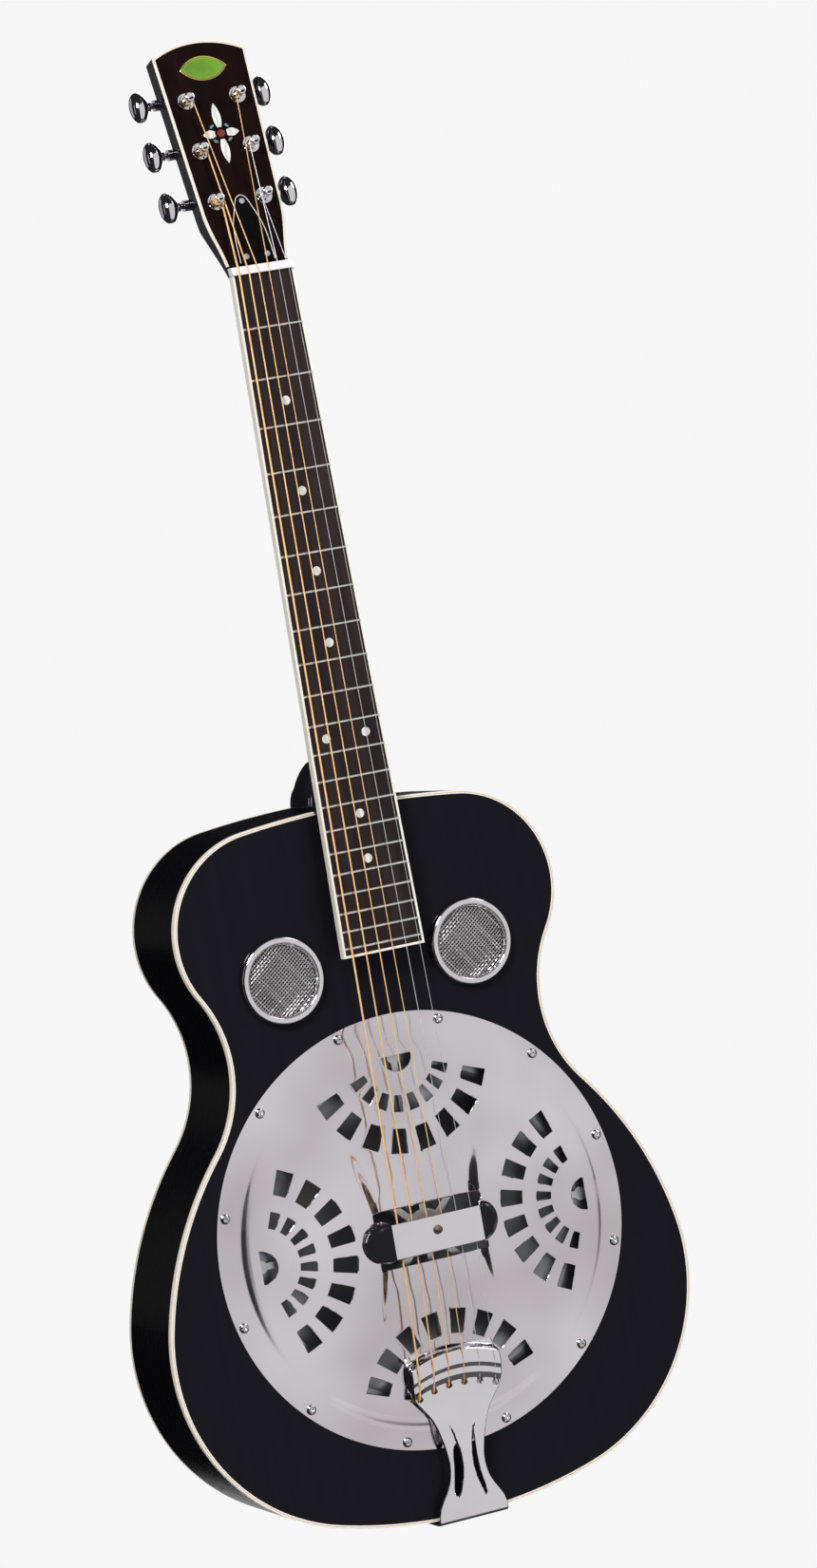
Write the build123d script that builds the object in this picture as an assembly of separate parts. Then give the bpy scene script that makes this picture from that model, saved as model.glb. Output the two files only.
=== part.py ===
from build123d import *
import os
from math import sin, cos, radians, pi

# Resonator guitar, modelled upright in millimetres. X is across the body (bass side at -X), the strings
# face -Y and +Z runs up the neck. The origin is the outer face of the strap button at the tail end, at
# half the depth of the rim. Front height "h" is the distance in front of the top plate.

# ---------------------------------------------------------------- driving dimensions
SCALE = 635.0                 # nut to saddle, before compensation
FRET_COUNT = 21
BODY_DEPTH = 80.0
BODY_BOTTOM = 6.4             # lowest point of the rim above the strap button's face
HALF_DEPTH = BODY_DEPTH / 2

# Right half of the body outline from the bottom: tangent arcs as (radius, degrees turned).
# A negative angle is the waist. The last arc, across the top, closes the outline on the centre line.
BODY_ARCS = [(345.7, 15.6), (130.4, 86.0), (240.0, 28.5), (87.2, -72.15), (67.3, 115.0)]

BODY_TOP = BODY_BOTTOM + 480.64
FRONT = -HALF_DEPTH
BACK = HALF_DEPTH

PLATE = 3.2                   # top and back plate thickness
RIM = 2.2                     # rim thickness, and the width of the bindings let into it
FRONT_BINDING = 5.5
BACK_BINDING = 4.0
LINING_WIDTH = 6.0
LINING_DEPTH = 12.0
BLOCK_HALF = 38.0             # neck block, half width
TAIL_BLOCK_HALF = 34.0
MORTISE_HALF = 10.0
TENON_LONG = 22.0
BRACES = [60.0, 200.0, 345.0, 410.0]
BRACE_HALF = 4.0
BRACE_HIGH = 14.0

CONE_Z = 200.0                # centre of the cone and cover plate
CONE_R = 133.0
CONE_HOLE_R = 134.5
CONE_SHEET = 0.6
WELL_R = 144.5                # outside of the ring that carries the cone
WELL_INNER_R = 124.0
WELL_DEPTH = 11.0
WELL_POST_AT = 135.0          # posts between the ring and the back, this far from the cone's axis
WELL_POST_R = 6.0
SPIDER_FOOT_AT = 117.0
SADDLE_Z = 202.0
STRING_AT_SADDLE = 25.0       # height of the string centres
STRING_AT_NUT = 11.6

COVER_R = 145.75
COVER_SHEET = 1.0
COVER_SCREW_R = 140.5
FAN_FOCUS_R = 118.5           # centre of each fan of slots, from the cover's centre
FAN_STEP = 18.67              # degrees between neighbouring slots
FAN_ROWS = [(26.5, 37.7), (48.7, 65.3)]
FAN_SLOT_HALF = 5.2           # degrees
HALF_MOON_R = 10.9
SLOT_HALF_X = 38.7
SLOT_HALF_Z = 19.2
CHANNEL_SPREAD = 39.0         # degrees from the centre line to each edge of the string channel

SCREEN_X = 68.5
SCREEN_Z = 382.0
SCREEN_R = 29.9
SCREEN_HOLE_R = 26.6

NUT_Z = 841.0
BOARD_TILT = 1.103            # degrees that the neck leans back
BOARD_AT_NUT = 9.64           # height of the fretboard's face at the nut
BOARD_THICK = 6.0
BOARD_BINDING = 1.6
BOARD_HALF_NUT = 21.9
BOARD_HALF_END = 29.1
BOARD_PAST_FRET = 6.0         # the fretboard ends this far below the last fret
DOT_R = 3.0
DOT_DEEP = 1.5

HEAD_TILT = 15.5
HEAD_Z = 843.0
HEAD_FACE_H = 4.5
HEAD_THICK = 14.0
VENEER = 1.5
HEAD_BINDING = 1.6
TRUSS_ROD = 6.0

POSTS = [(-17.2, 50.0), (-18.2, 86.2), (-18.4, 121.7), (18.4, 121.7), (18.2, 86.2), (17.2, 50.0)]
POST_R = 3.0
POST_WAIST_R = 2.3
BUSHING_R = 4.3
BUSHING_WASHER_R = 5.6
POST_TOP = 10.4
POST_TOP_R = 3.3
KEY_OFFSET = 7.0              # from a post's axis to its worm's axis
KEY_DEPTH = -18.5             # worm axis behind the headstock face
WHEEL_TEETH = 14
WHEEL_PITCH_R = 4.8
WORM_PITCH_R = KEY_OFFSET - WHEEL_PITCH_R
WORM_LEAD = 2 * pi * WHEEL_PITCH_R / WHEEL_TEETH
TOOTH_HALF_DEPTH = 0.45
ROOT_GAP = 0.15               # extra depth below the teeth, beyond the pitch circle's half depth
WINDING_LOW = [2.7, 4.6, 5.2, 5.2, 4.6, 2.7]      # lowest turn of each string above the headstock face

STRING_DIAMETERS = [1.35, 1.05, 0.80, 0.60, 0.42, 0.33]
WINDING_TURNS = [2, 2, 2, 3, 4, 5]
STRING_POSITIONS = [-2.5, -1.5, -0.5, 0.5, 1.5, 2.5]
NUT_PITCH = 7.1
SADDLE_PITCH = 10.8
TAIL_PITCH = 11.1

PALM_REST_PATH = [(-50.3, 12.0), (-50.3, 27.2), (50.3, 27.2), (50.3, 12.0)]
PALM_REST_BEND = 14.0
PALM_REST_HALF = 12.7
PALM_REST_SHEET = 1.2

TAIL_SHEET = 1.3
TAIL_HOLE_R = 2.2
STRAP_SCREW_R = 2.5
CLEARANCE = 0.1
WINDING_GAP = 0.3             # between a string's end and the turns that move with its post


# ---------------------------------------------------------------- small helpers
def front_plane(h):
    """Sketch plane at height h in front of the top plate: local x is X, local y is Z."""
    return Plane(origin=(0, -HALF_DEPTH - h, 0), x_dir=(1, 0, 0), z_dir=(0, -1, 0))


def tilted_plane(h, z, degrees):
    """Plane whose local y runs up the neck, leaning back by the given angle."""
    normal = (0, -cos(radians(degrees)), sin(radians(degrees)))
    return Plane(origin=(0, -HALF_DEPTH - h, z), x_dir=(1, 0, 0), z_dir=normal)


BOARD = tilted_plane(BOARD_AT_NUT, NUT_Z, BOARD_TILT)
HEAD = tilted_plane(HEAD_FACE_H, HEAD_Z, HEAD_TILT)


def layer(sketch, plane, low, high):
    """Extrude a flat sketch between two heights above a plane."""
    return extrude(plane.offset(low) * sketch, high - low)


def peg(plane, x, y, low, high, radius):
    """A round pin standing on a plane."""
    return layer(Pos(x, y) * Circle(radius), plane, low, high)


def block(low, high):
    """A box between two corners."""
    size = [b - a for a, b in zip(low, high)]
    middle = [(a + b) / 2 for a, b in zip(low, high)]
    return Pos(*middle) * Box(*size)


def turned(points, centre_z=CONE_Z):
    """Revolve a closed (radius, height) outline about the axis through the cone's centre."""
    outline = [(r, -HALF_DEPTH - h, centre_z) for r, h in points]
    return revolve(make_face(Polyline(*outline, close=True)), Axis((0, 0, centre_z), (0, 1, 0)))


def side_wall(points):
    """A closed (y, z) outline as a face on the centre plane."""
    return make_face(Polyline(*[(0, y, z) for y, z in points], close=True))


def save(shape, name):
    """Write one node, made of one or more separate solids."""
    solids = list(shape.solids()) if hasattr(shape, "solids") else [s for p in shape for s in p.solids()]
    node = solids[0] if len(solids) == 1 else Compound(children=solids)
    node.label = name
    export_step(node, f"parts/{name}.step")
    print(f"{name:24s} {len(solids):3d} solids {sum(s.volume for s in solids):12.1f} mm3")


# ---------------------------------------------------------------- body outline
def half_outline(inset):
    """Edges of the right half of the body outline, moved inwards by the inset."""
    x, z, heading = 0.0, BODY_BOTTOM, 0.0
    edges = []
    for radius, turn in BODY_ARCS:
        sign = 1 if turn > 0 else -1
        cx = x - sign * radius * sin(radians(heading))
        cz = z + sign * radius * cos(radians(heading))
        drawn = radius - sign * inset
        points = []
        for part in (0, 0.5, 1):
            angle = radians(heading + part * turn)
            points.append((cx + sign * drawn * sin(angle), cz - sign * drawn * cos(angle)))
        edges.append(ThreePointArc(*points))
        heading += turn
        x = cx + sign * radius * sin(radians(heading))
        z = cz - sign * radius * cos(radians(heading))
    radius = x / sin(radians(heading))
    cz = z + radius * cos(radians(heading))
    drawn = radius - inset
    points = []
    for angle in (heading, (heading + 180) / 2, 180):
        points.append((drawn * sin(radians(angle)), cz - drawn * cos(radians(angle))))
    edges.append(ThreePointArc(*points))
    return edges


def body_face(inset):
    """Whole body outline as a face."""
    right = half_outline(inset)
    left = [edge.mirror(Plane.YZ) for edge in right]
    return make_face(right + left)


def body_ring(outer, inner, front, back):
    """A ring that follows the body outline, from depth y = front to y = back."""
    outline = body_face(outer) - body_face(inner)
    return extrude(Plane(origin=(0, back, 0), x_dir=(1, 0, 0), z_dir=(0, -1, 0)) * outline, back - front)


def body_slab(inset, front, back):
    outline = body_face(inset)
    return extrude(Plane(origin=(0, back, 0), x_dir=(1, 0, 0), z_dir=(0, -1, 0)) * outline, back - front)


INNER_FRONT = FRONT + PLATE
INNER_BACK = BACK - PLATE
MAIN = front_plane(0)


# ---------------------------------------------------------------- wooden body
def mortise_space():
    """Room for the neck's tenon through the rim and into the neck block."""
    return block((-MORTISE_HALF, -30, BODY_TOP - TENON_LONG), (MORTISE_HALF, 24, BODY_TOP + 20))


def strap_bore():
    return Pos(0, 0, 10) * Cylinder(STRAP_SCREW_R, 50)


def make_plates():
    cone_hole = peg(MAIN, 0, CONE_Z, -10, 10, CONE_HOLE_R)
    top = body_slab(RIM, FRONT, INNER_FRONT) - cone_hole
    for side in (-1, 1):
        top -= peg(MAIN, side * SCREEN_X, SCREEN_Z, -10, 10, SCREEN_HOLE_R)
    save(top, "top_plate")
    save(body_slab(RIM, INNER_BACK, BACK), "back_plate")


def make_rims():
    rim = body_ring(0, RIM, FRONT + FRONT_BINDING, BACK - BACK_BINDING)
    rim -= mortise_space()
    rim -= strap_bore()
    save(rim & block((-250, -50, 0), (0, 50, 500)), "side_bass")
    save(rim & block((0, -50, 0), (250, 50, 500)), "side_treble")
    save(body_ring(0, RIM, FRONT, FRONT + FRONT_BINDING), "binding_front")
    save(body_ring(0, RIM, BACK - BACK_BINDING, BACK), "binding_back")


def make_blocks():
    inside = body_slab(RIM, INNER_FRONT, INNER_BACK)
    neck_area = block((-BLOCK_HALF, -50, BODY_TOP - 60), (BLOCK_HALF, 50, BODY_TOP + 20))
    tail_area = block((-TAIL_BLOCK_HALF, -50, 0), (TAIL_BLOCK_HALF, 50, BODY_BOTTOM + 24))
    save((inside & neck_area) - mortise_space(), "neck_block")
    save((inside & tail_area) - strap_bore(), "tail_block")
    front = body_ring(RIM, RIM + LINING_WIDTH, INNER_FRONT, INNER_FRONT + LINING_DEPTH)
    back = body_ring(RIM, RIM + LINING_WIDTH, INNER_BACK - LINING_DEPTH, INNER_BACK)
    save((front + back) - neck_area - tail_area, "linings")


def make_inside():
    inside = body_slab(RIM + LINING_WIDTH, INNER_BACK - BRACE_HIGH, INNER_BACK)
    braces = [inside & block((-250, -50, z - BRACE_HALF), (250, 50, z + BRACE_HALF)) for z in BRACES]
    save(braces, "back_braces")
    well_low = -PLATE - WELL_DEPTH
    ring = peg(MAIN, 0, CONE_Z, well_low, -PLATE, WELL_R) - peg(MAIN, 0, CONE_Z, -50, 0, WELL_INNER_R)
    save(ring, "sound_well")
    posts = []
    for angle in (45, 135, 225, 315):
        x = WELL_POST_AT * cos(radians(angle))
        z = CONE_Z + WELL_POST_AT * sin(radians(angle))
        posts.append(peg(MAIN, x, z, -BODY_DEPTH + PLATE, well_low, WELL_POST_R))
    save(posts, "well_posts")


# ---------------------------------------------------------------- neck
def fret_place(number):
    return SCALE * (1 - 2 ** (-number / 12))


BOARD_LONG = fret_place(FRET_COUNT) + BOARD_PAST_FRET


def board_outline(inset, end_inset):
    """Fretboard outline on the board plane: the nut is at y = 0 and the end below it."""
    end = end_inset - BOARD_LONG
    a = BOARD_HALF_NUT - inset
    b = BOARD_HALF_END - inset
    return make_face(Polyline((-a, 0), (a, 0), (b, end), (-b, end), close=True))


def between_frets(number):
    return -(fret_place(number) + fret_place(number - 1)) / 2


def board_half(distance):
    """Half the width inside the binding at a distance from the nut."""
    share = distance / BOARD_LONG
    return BOARD_HALF_NUT + (BOARD_HALF_END - BOARD_HALF_NUT) * share - BOARD_BINDING


def make_fretboard():
    board = layer(board_outline(BOARD_BINDING, BOARD_BINDING), BOARD, -BOARD_THICK, 0)
    edge = layer(board_outline(0, 0), BOARD, -BOARD_THICK, 0) - board
    dots = []
    for number in (3, 5, 7, 9, 15, 17):
        dots.append(peg(BOARD, 0, between_frets(number), -DOT_DEEP, 0, DOT_R))
    for x in (-14.2, 14.2):
        dots.append(peg(BOARD, x, between_frets(12), -DOT_DEEP, 0, DOT_R))
    board -= dots
    side_dots = []
    for number, shift in [(3, 0), (5, 0), (7, 0), (9, 0), (12, -4), (12, 4), (15, 0), (17, 0)]:
        y = between_frets(number) + shift
        x = -board_half(-y) - BOARD_BINDING
        pin = BOARD * Pos(x + 0.55, y, -BOARD_THICK / 2) * Rot(0, 90, 0) * Cylinder(1.0, 1.0)
        side_dots.append(pin & edge)
    edge -= side_dots
    save(board, "fretboard")
    save(edge, "fretboard_binding")
    save(dots + side_dots, "position_markers")

    frets = []
    for number in range(1, FRET_COUNT + 1):
        place = fret_place(number)
        crown = make_face([ThreePointArc((-1.1, 0), (0, 1.0), (1.1, 0)), Line((1.1, 0), (-1.1, 0))])
        half = board_half(place) - 0.05
        across = Plane(origin=(-half, -place, 0), x_dir=(0, 1, 0), z_dir=(1, 0, 0))
        frets.append(extrude(BOARD * across * crown, 2 * half))
    save(frets, "frets")


def make_support():
    """Wedge that carries the fretboard over the top plate."""
    length = BOARD_LONG - 4.0
    joint = NUT_Z - BODY_TOP + 0.6
    under = layer(Pos(0, -(length + joint) / 2) * Rectangle(50, length - joint), BOARD, -20, -BOARD_THICK)
    save(under & block((-60, FRONT - 30, 300), (60, FRONT, BODY_TOP - 0.5)), "fretboard_support")


def half_oval(plane, half_width, depth):
    """Neck section: flat towards the fretboard, rounded behind."""
    flat = Line((half_width, 0), (-half_width, 0))
    back = EllipticalCenterArc((0, 0), half_width, depth, start_angle=180, arc_size=180)
    return plane * make_face([flat, back])


def heel_section(y, half_width, reach):
    """Heel section at depth y, from the body's top edge outwards."""
    base = Plane(origin=(0, y, BODY_TOP - HEEL_SINK), x_dir=(1, 0, 0), z_dir=(0, -1, 0))
    flat = Line((-half_width, 0), (half_width, 0))
    nose = EllipticalCenterArc((0, 0), half_width, reach, start_angle=0, arc_size=180)
    return base * make_face([flat, nose])


HEEL_SECTIONS = [(-52.0, 27.0, 62.0), (-38.0, 25.5, 44.0), (-16.0, 19.0, 36.0), (12.0, 14.0, 32.5),
                 (36.0, 10.5, 17.0)]
HEEL_CAP = 2.6
HEEL_SINK = 2.0               # the heel starts this far inside the rim and is then fitted to it


def neck_section_plane(distance):
    """Section across the neck at a distance from the nut, local y pointing away from the strings."""
    centre = BOARD.from_local_coords((0, -distance, -BOARD_THICK))
    return Plane(origin=centre, x_dir=(1, 0, 0), z_dir=-BOARD.y_dir)


def head_outline(inset):
    """Headstock outline on its own plane, with an arched top."""
    foot, shoulder, corner = 21.3 - inset, 28.5 - inset, 33.0 - inset
    flare = Bezier((foot, -4.0), (foot + 0.3, 16.0), (shoulder - 0.9, 26.0), (shoulder, 43.0))
    side = Line((shoulder, 43.0), (corner, 155.0 - inset))
    top = ThreePointArc((corner, 155.0 - inset), (0, 163.0 - inset), (-corner, 155.0 - inset))
    base = Line((-foot, -4.0), (foot, -4.0))
    return make_face([flare, side, top, side.mirror(Plane.YZ), flare.mirror(Plane.YZ), base])


def post_holes(low, high, radius):
    return [peg(HEAD, x, s, low, high, radius) for x, s in POSTS]


# Three points of the facet that carves each back corner of the headstock down to the round neck.
HEAD_FACET = [Vector(20.9, -4.0, -3.0), Vector(11.0, -4.0, -HEAD_THICK), Vector(28.0, 36.0, -HEAD_THICK)]


def make_head_block():
    """Headstock without its veneer, with the two corners behind the nut carved away."""
    head = layer(head_outline(0), HEAD, -HEAD_THICK, -VENEER)
    side, low, far = HEAD_FACET
    normal = (far - low).cross(side - low).normalized()
    if normal.X < 0:
        normal = -normal
    outside = Box(120, 80, 30, align=(Align.CENTER, Align.CENTER, Align.MIN))
    chip = Plane(origin=low, x_dir=far - low, z_dir=normal) * outside
    chip &= block((0, -20, -30), (60, 36, 5))
    return head - HEAD * chip - HEAD * mirror(chip, about=Plane.YZ)


def make_neck():
    joint = NUT_Z - BODY_TOP
    shaft = loft([
        half_oval(neck_section_plane(-3.0), 20.9, 14.5),
        half_oval(neck_section_plane(150.0), 23.4, 15.5),
        half_oval(neck_section_plane(joint - 30), 26.4, 17.0),
        half_oval(neck_section_plane(joint + 6), 27.2, 19.0),
    ])
    heel = loft([heel_section(*row) for row in HEEL_SECTIONS])
    volute = loft([
        half_oval(neck_section_plane(16.0), 20.9, 14.5),
        half_oval(neck_section_plane(-6.0), 21.0, 16.5),
        half_oval(neck_section_plane(-16.0), 21.6, 14.0),
    ])
    under_board = layer(Pos(0, -300) * Rectangle(200, 600), BOARD, -BOARD_THICK, 60)
    over_face = layer(Pos(0, 80) * Rectangle(120, 200), HEAD, -VENEER, 60)
    body = body_slab(0, FRONT - 60, BACK + 10)
    neck = heel + shaft + make_head_block() + (volute - over_face)
    neck = neck - under_board - body
    neck += block((-MORTISE_HALF, -30, BODY_TOP - TENON_LONG), (MORTISE_HALF, 24, BODY_TOP + 5))
    groove = Pos(0, 6 - joint / 2) * Rectangle(TRUSS_ROD, joint - 22)
    neck -= layer(groove, BOARD, -BOARD_THICK - TRUSS_ROD - 2, 20)
    neck -= post_holes(-HEAD_THICK - 1, 1, BUSHING_R)
    save(neck, "neck")
    save(layer(groove, BOARD, -BOARD_THICK - TRUSS_ROD - 2, -BOARD_THICK), "truss_rod")
    y, half_width, reach = HEEL_SECTIONS[-1]
    cap = extrude(heel_section(y + HEEL_CAP, half_width, reach), HEEL_CAP)
    save(cap - body, "heel_cap")


def make_nut(strings):
    low = BOARD_AT_NUT - BOARD_THICK
    profile = [(FRONT - low, NUT_Z + 0.2), (FRONT - STRING_AT_NUT, NUT_Z + 0.2),
               (FRONT - STRING_AT_NUT, NUT_Z + 1.4), (FRONT - 9.6, NUT_Z + 5.6), (FRONT - low, NUT_Z + 5.6)]
    nut = Pos(-BOARD_HALF_NUT, 0, 0) * extrude(side_wall(profile), BOARD_HALF_NUT * 2, dir=(1, 0, 0))
    over_face = layer(Pos(0, 80) * Rectangle(120, 170), HEAD, -60, 0)
    save(nut - over_face - strings, "nut")


def lozenge(half_x, half_y):
    """Pointed oval between two arcs, longer across."""
    upper = ThreePointArc((-half_x, 0), (0, half_y), (half_x, 0))
    lower = ThreePointArc((half_x, 0), (0, -half_y), (-half_x, 0))
    return make_face([upper, lower])


TRUSS_COVER = [(12.5, 5.6), (12.0, 19.0), (10.6, 31.0), (7.8, 40.0), (4.4, 49.0)]
TRUSS_SCREWS = [(0.0, 47.75), (-7.4, 9.5), (7.4, 9.5)]


def make_head_parts():
    face = layer(head_outline(HEAD_BINDING), HEAD, -VENEER, 0)
    edge = layer(head_outline(0), HEAD, -VENEER, 0) - layer(head_outline(HEAD_BINDING), HEAD, -VENEER, 0)
    below_nut = layer(Pos(0, -8) * Rectangle(80, 26), HEAD, -10, 10)
    face -= below_nut
    edge -= below_nut
    badge = layer(Pos(0, 143.5) * lozenge(17.0, 8.8), HEAD, -0.7, 0.5)
    petal = lozenge(12.0, 3.2)
    flower = []
    for angle, reach, centre in [(90, 1.0, 11.5), (270, 1.0, 11.5), (0, 0.55, 7.5), (180, 0.55, 7.5)]:
        leaf = Rot(0, 0, angle) * Pos(centre, 0) * scale(petal, by=(reach * 0.82, 0.9, 1))
        flower.append(layer(Pos(0, 97) * leaf, HEAD, -0.7, 0))
    flower.append(peg(HEAD, 0, 97, -0.7, 0, 2.6))
    face -= flower
    face -= badge
    face -= post_holes(-3, 1, BUSHING_R)
    save(face, "headplate")
    save(edge, "headstock_binding")
    save(flower, "head_inlay")
    save(badge, "head_badge")

    right = Spline(*TRUSS_COVER)
    tip = ThreePointArc((4.4, 49.0), (0, 52.2), (-4.4, 49.0))
    outline = make_face([right, tip, right.mirror(Plane.YZ), Line((-12.5, 5.6), (12.5, 5.6))])
    cover = layer(outline, HEAD, 0, 1.8)
    holes = [peg(HEAD, x, s, -1, 3, 1.2) for x, s in TRUSS_SCREWS]
    save(cover - holes, "truss_rod_cover")
    screws = []
    for x, s in TRUSS_SCREWS:
        screws.append(peg(HEAD, x, s, 0, 1.8, 1.2) + peg(HEAD, x, s, 1.8, 2.6, 1.9))
    save(screws, "truss_cover_screws")


# ---------------------------------------------------------------- tuning machines
HOUSING_BACK = -23.6
CAVITY_R = 5.7
SHAFT_R = 1.9
WORM_CORE_R = WORM_PITCH_R - TOOTH_HALF_DEPTH - ROOT_GAP
# Sections of a tuner button: distance from the post, half size along the headstock, half size across it.
BUTTON_OVALS = [(17.5, 3.6, 3.2), (19.5, 5.6, 4.4), (22.5, 9.6, 6.2), (26.0, 10.5, 6.6), (29.5, 8.6, 5.4),
                (31.6, 4.2, 2.6)]
BUTTON_SEAT = 22.5            # the shaft ends this far from the post, inside the button


def key_axis(k, along):
    """Point on the worm's axis, a distance from the post towards the outside of the headstock."""
    x, s = POSTS[k]
    side = 1 if x > 0 else -1
    return (x + side * along, s + KEY_OFFSET, KEY_DEPTH)


def cross_rod(k, start, end, radius):
    """A round rod on the worm's axis between two distances from the post."""
    a = key_axis(k, start)
    b = key_axis(k, end)
    middle = tuple((p + q) / 2 for p, q in zip(a, b))
    return HEAD * Pos(*middle) * Rot(0, 90, 0) * Cylinder(radius, abs(end - start))


def make_housings():
    housings = []
    bushings = []
    for k, (x, s) in enumerate(POSTS):
        shape = RectangleRounded(15, 22.5, 4)
        case = layer(Pos(x, s + 2.2) * shape, HEAD, HOUSING_BACK, -HEAD_THICK)
        case = chamfer(case.faces().sort_by(Axis((0, 0, 0), tuple(HEAD.z_dir)))[0].edges(), 1.0)
        case += cross_rod(k, 7, 15.2, 3.8)
        case -= peg(HEAD, x, s, -21.0, -16.0, CAVITY_R)
        case -= peg(HEAD, x, s, -22.5, -10.0, POST_R + CLEARANCE)
        case -= cross_rod(k, -5.2, 5.2, 3.1)
        case -= cross_rod(k, -6.4, 20, SHAFT_R + CLEARANCE / 2)
        housings.append(case)
        sleeve = peg(HEAD, x, s, -HEAD_THICK, 0, BUSHING_R) + peg(HEAD, x, s, 0, 1.0, BUSHING_WASHER_R)
        nut = layer(Pos(x, s) * RegularPolygon(4.9, 6), HEAD, 1.0, 2.4)
        bushings.append(sleeve + nut - peg(HEAD, x, s, -20, 5, POST_R + CLEARANCE))
    save(housings, "tuner_housings")
    save(bushings, "tuner_bushings")


def worm_wheel(x, s):
    """Straight-toothed wheel that the worm turns, with one tooth pointing at the worm."""
    root = WHEEL_PITCH_R - TOOTH_HALF_DEPTH - ROOT_GAP
    tip = WHEEL_PITCH_R + TOOTH_HALF_DEPTH
    tooth = make_face(Polyline((-0.55, root - 0.5), (-0.5, root), (-0.22, tip), (0.22, tip),
                               (0.5, root), (0.55, root - 0.5), close=True))
    flat = Circle(root)
    for n in range(WHEEL_TEETH):
        flat += Rot(0, 0, n * 360 / WHEEL_TEETH) * tooth
    return layer(Pos(x, s) * flat, HEAD, KEY_DEPTH - 1.4, KEY_DEPTH + 1.4)


def worm_thread():
    """Three turns of thread about local Z, starting at local +X."""
    crest = WORM_PITCH_R + TOOTH_HALF_DEPTH
    path = Helix(WORM_LEAD, 3 * WORM_LEAD, WORM_CORE_R)
    profile = make_face(Polyline((WORM_CORE_R - 0.25, -0.52), (crest, -0.2), (crest, 0.2),
                                 (WORM_CORE_R - 0.25, 0.52), close=True))
    return sweep(Plane.XZ * profile, path=path, is_frenet=True)


def make_keys():
    thread = worm_thread()
    for k, (x, s) in enumerate(POSTS):
        side = 1 if x > 0 else -1
        # Local Z of the thread lies along +X and its start faces the wheel.
        start = (x - 1.5 * WORM_LEAD, s + KEY_OFFSET, KEY_DEPTH)
        seat = Plane(origin=start, x_dir=(0, -1, 0), z_dir=(1, 0, 0))
        worm = (HEAD * seat) * thread + cross_rod(k, -4.8, 4.8, WORM_CORE_R)
        worm += cross_rod(k, -6.2, -4.8, 1.4) + cross_rod(k, 4.8, BUTTON_SEAT, SHAFT_R)
        save(worm, f"worm_shaft_{k + 1}")
        ovals = []
        for along, half_s, half_n in BUTTON_OVALS:
            centre = key_axis(k, along)
            across = Plane(origin=centre, x_dir=(0, 1, 0), z_dir=(side, 0, 0))
            ovals.append(HEAD * across * Ellipse(half_s, half_n))
        button = loft(ovals) - cross_rod(k, 0, BUTTON_SEAT, SHAFT_R)
        save(button, f"tuner_button_{k + 1}")


def make_posts():
    for k, (x, s) in enumerate(POSTS):
        post = peg(HEAD, x, s, -22.4, 2.5, POST_R)
        post += peg(HEAD, x, s, 2.5, 8.6, POST_WAIST_R)
        post += peg(HEAD, x, s, 8.6, POST_TOP, POST_TOP_R)
        post += worm_wheel(x, s)
        post -= HEAD * Pos(x, s, 7.8) * Rot(90, 0, 0) * Cylinder(0.8, 10)
        d = STRING_DIAMETERS[k]
        low = WINDING_LOW[k]
        high = low + WINDING_TURNS[k] * d
        coil = peg(HEAD, x, s, low, high, POST_WAIST_R + d) - peg(HEAD, x, s, low, high, POST_WAIST_R)
        save([post, coil], f"string_post_{k + 1}")


# ---------------------------------------------------------------- resonator
def make_cone():
    """Spun aluminium cone: flat rim, deep flank and a small central cone."""
    front = [(CONE_R, CONE_SHEET), (110, CONE_SHEET), (33, -31.0), (26, -31.0), (5, -12.0), (0, -12.0)]
    back = [(0, -12.6), (4.7, -12.6), (25.7, -31.6), (33.4, -31.6), (110.3, 0), (CONE_R, 0)]
    outline = [(r, h - PLATE) for r, h in front + back]
    save(turned(outline), "cone")


def make_spider():
    pad_top = 1.0
    pad_base = CONE_SHEET - PLATE
    spider = peg(MAIN, 0, CONE_Z, 3.0, 8.0, 15)
    for n in range(8):
        angle = 45 * n
        pad_x = SPIDER_FOOT_AT * sin(radians(angle))
        pad_z = CONE_Z + SPIDER_FOOT_AT * cos(radians(angle))
        spider += peg(MAIN, pad_x, pad_z, pad_base, pad_top, 4.5)
        wall = [(12, 3.4), (12, 7.6), (116, 1.0), (116, -2.0)]
        side = make_face(Polyline(*[(-2.2, -HALF_DEPTH - h, r) for r, h in wall], close=True))
        spider += Pos(0, 0, CONE_Z) * Rot(0, angle, 0) * extrude(side, 4.4, dir=(1, 0, 0))
    spider += extrude(front_plane(8.0) * Pos(0, CONE_Z + 2) * Rectangle(60, 9), 5)
    spider -= extrude(front_plane(9.0) * Pos(0, SADDLE_Z) * Rectangle(58, 3), 10)
    spider -= peg(MAIN, 0, CONE_Z + 2, -10, 20, 2.0)
    save(spider, "spider")


def make_saddle(strings):
    halves = []
    for side in (-1, 1):
        outline = Pos(side * 16.2, SADDLE_Z) * Rectangle(25.0, 3)
        halves.append(extrude(front_plane(9.0) * outline, STRING_AT_SADDLE - 9.0) - strings)
    save(halves, "saddle")
    screw = peg(MAIN, 0, CONE_Z + 2, -14.4, 13.0, 1.9) + peg(MAIN, 0, CONE_Z + 2, 13.0, 15.6, 3.0)
    save(screw, "spider_screw")


HIGH_DOME = [(61, 12.5), (43, 15.8), (0, 16.0)]
LOW_DOME = [(61, 9.0), (43, 11.4), (0, 11.6)]


def dome(profile, shrink):
    """Solid under one of the two cover profiles; shrink gives the inner surface."""
    low = -1.0 if shrink else 0.0
    edge = 133.0 - shrink
    rim = [(0, low), (edge, low), (edge, 1.2 - shrink), (124.0, 5.5 - shrink), (118.0, 6.5 - shrink)]
    return turned(rim + [(r, h - shrink) for r, h in profile])


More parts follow.
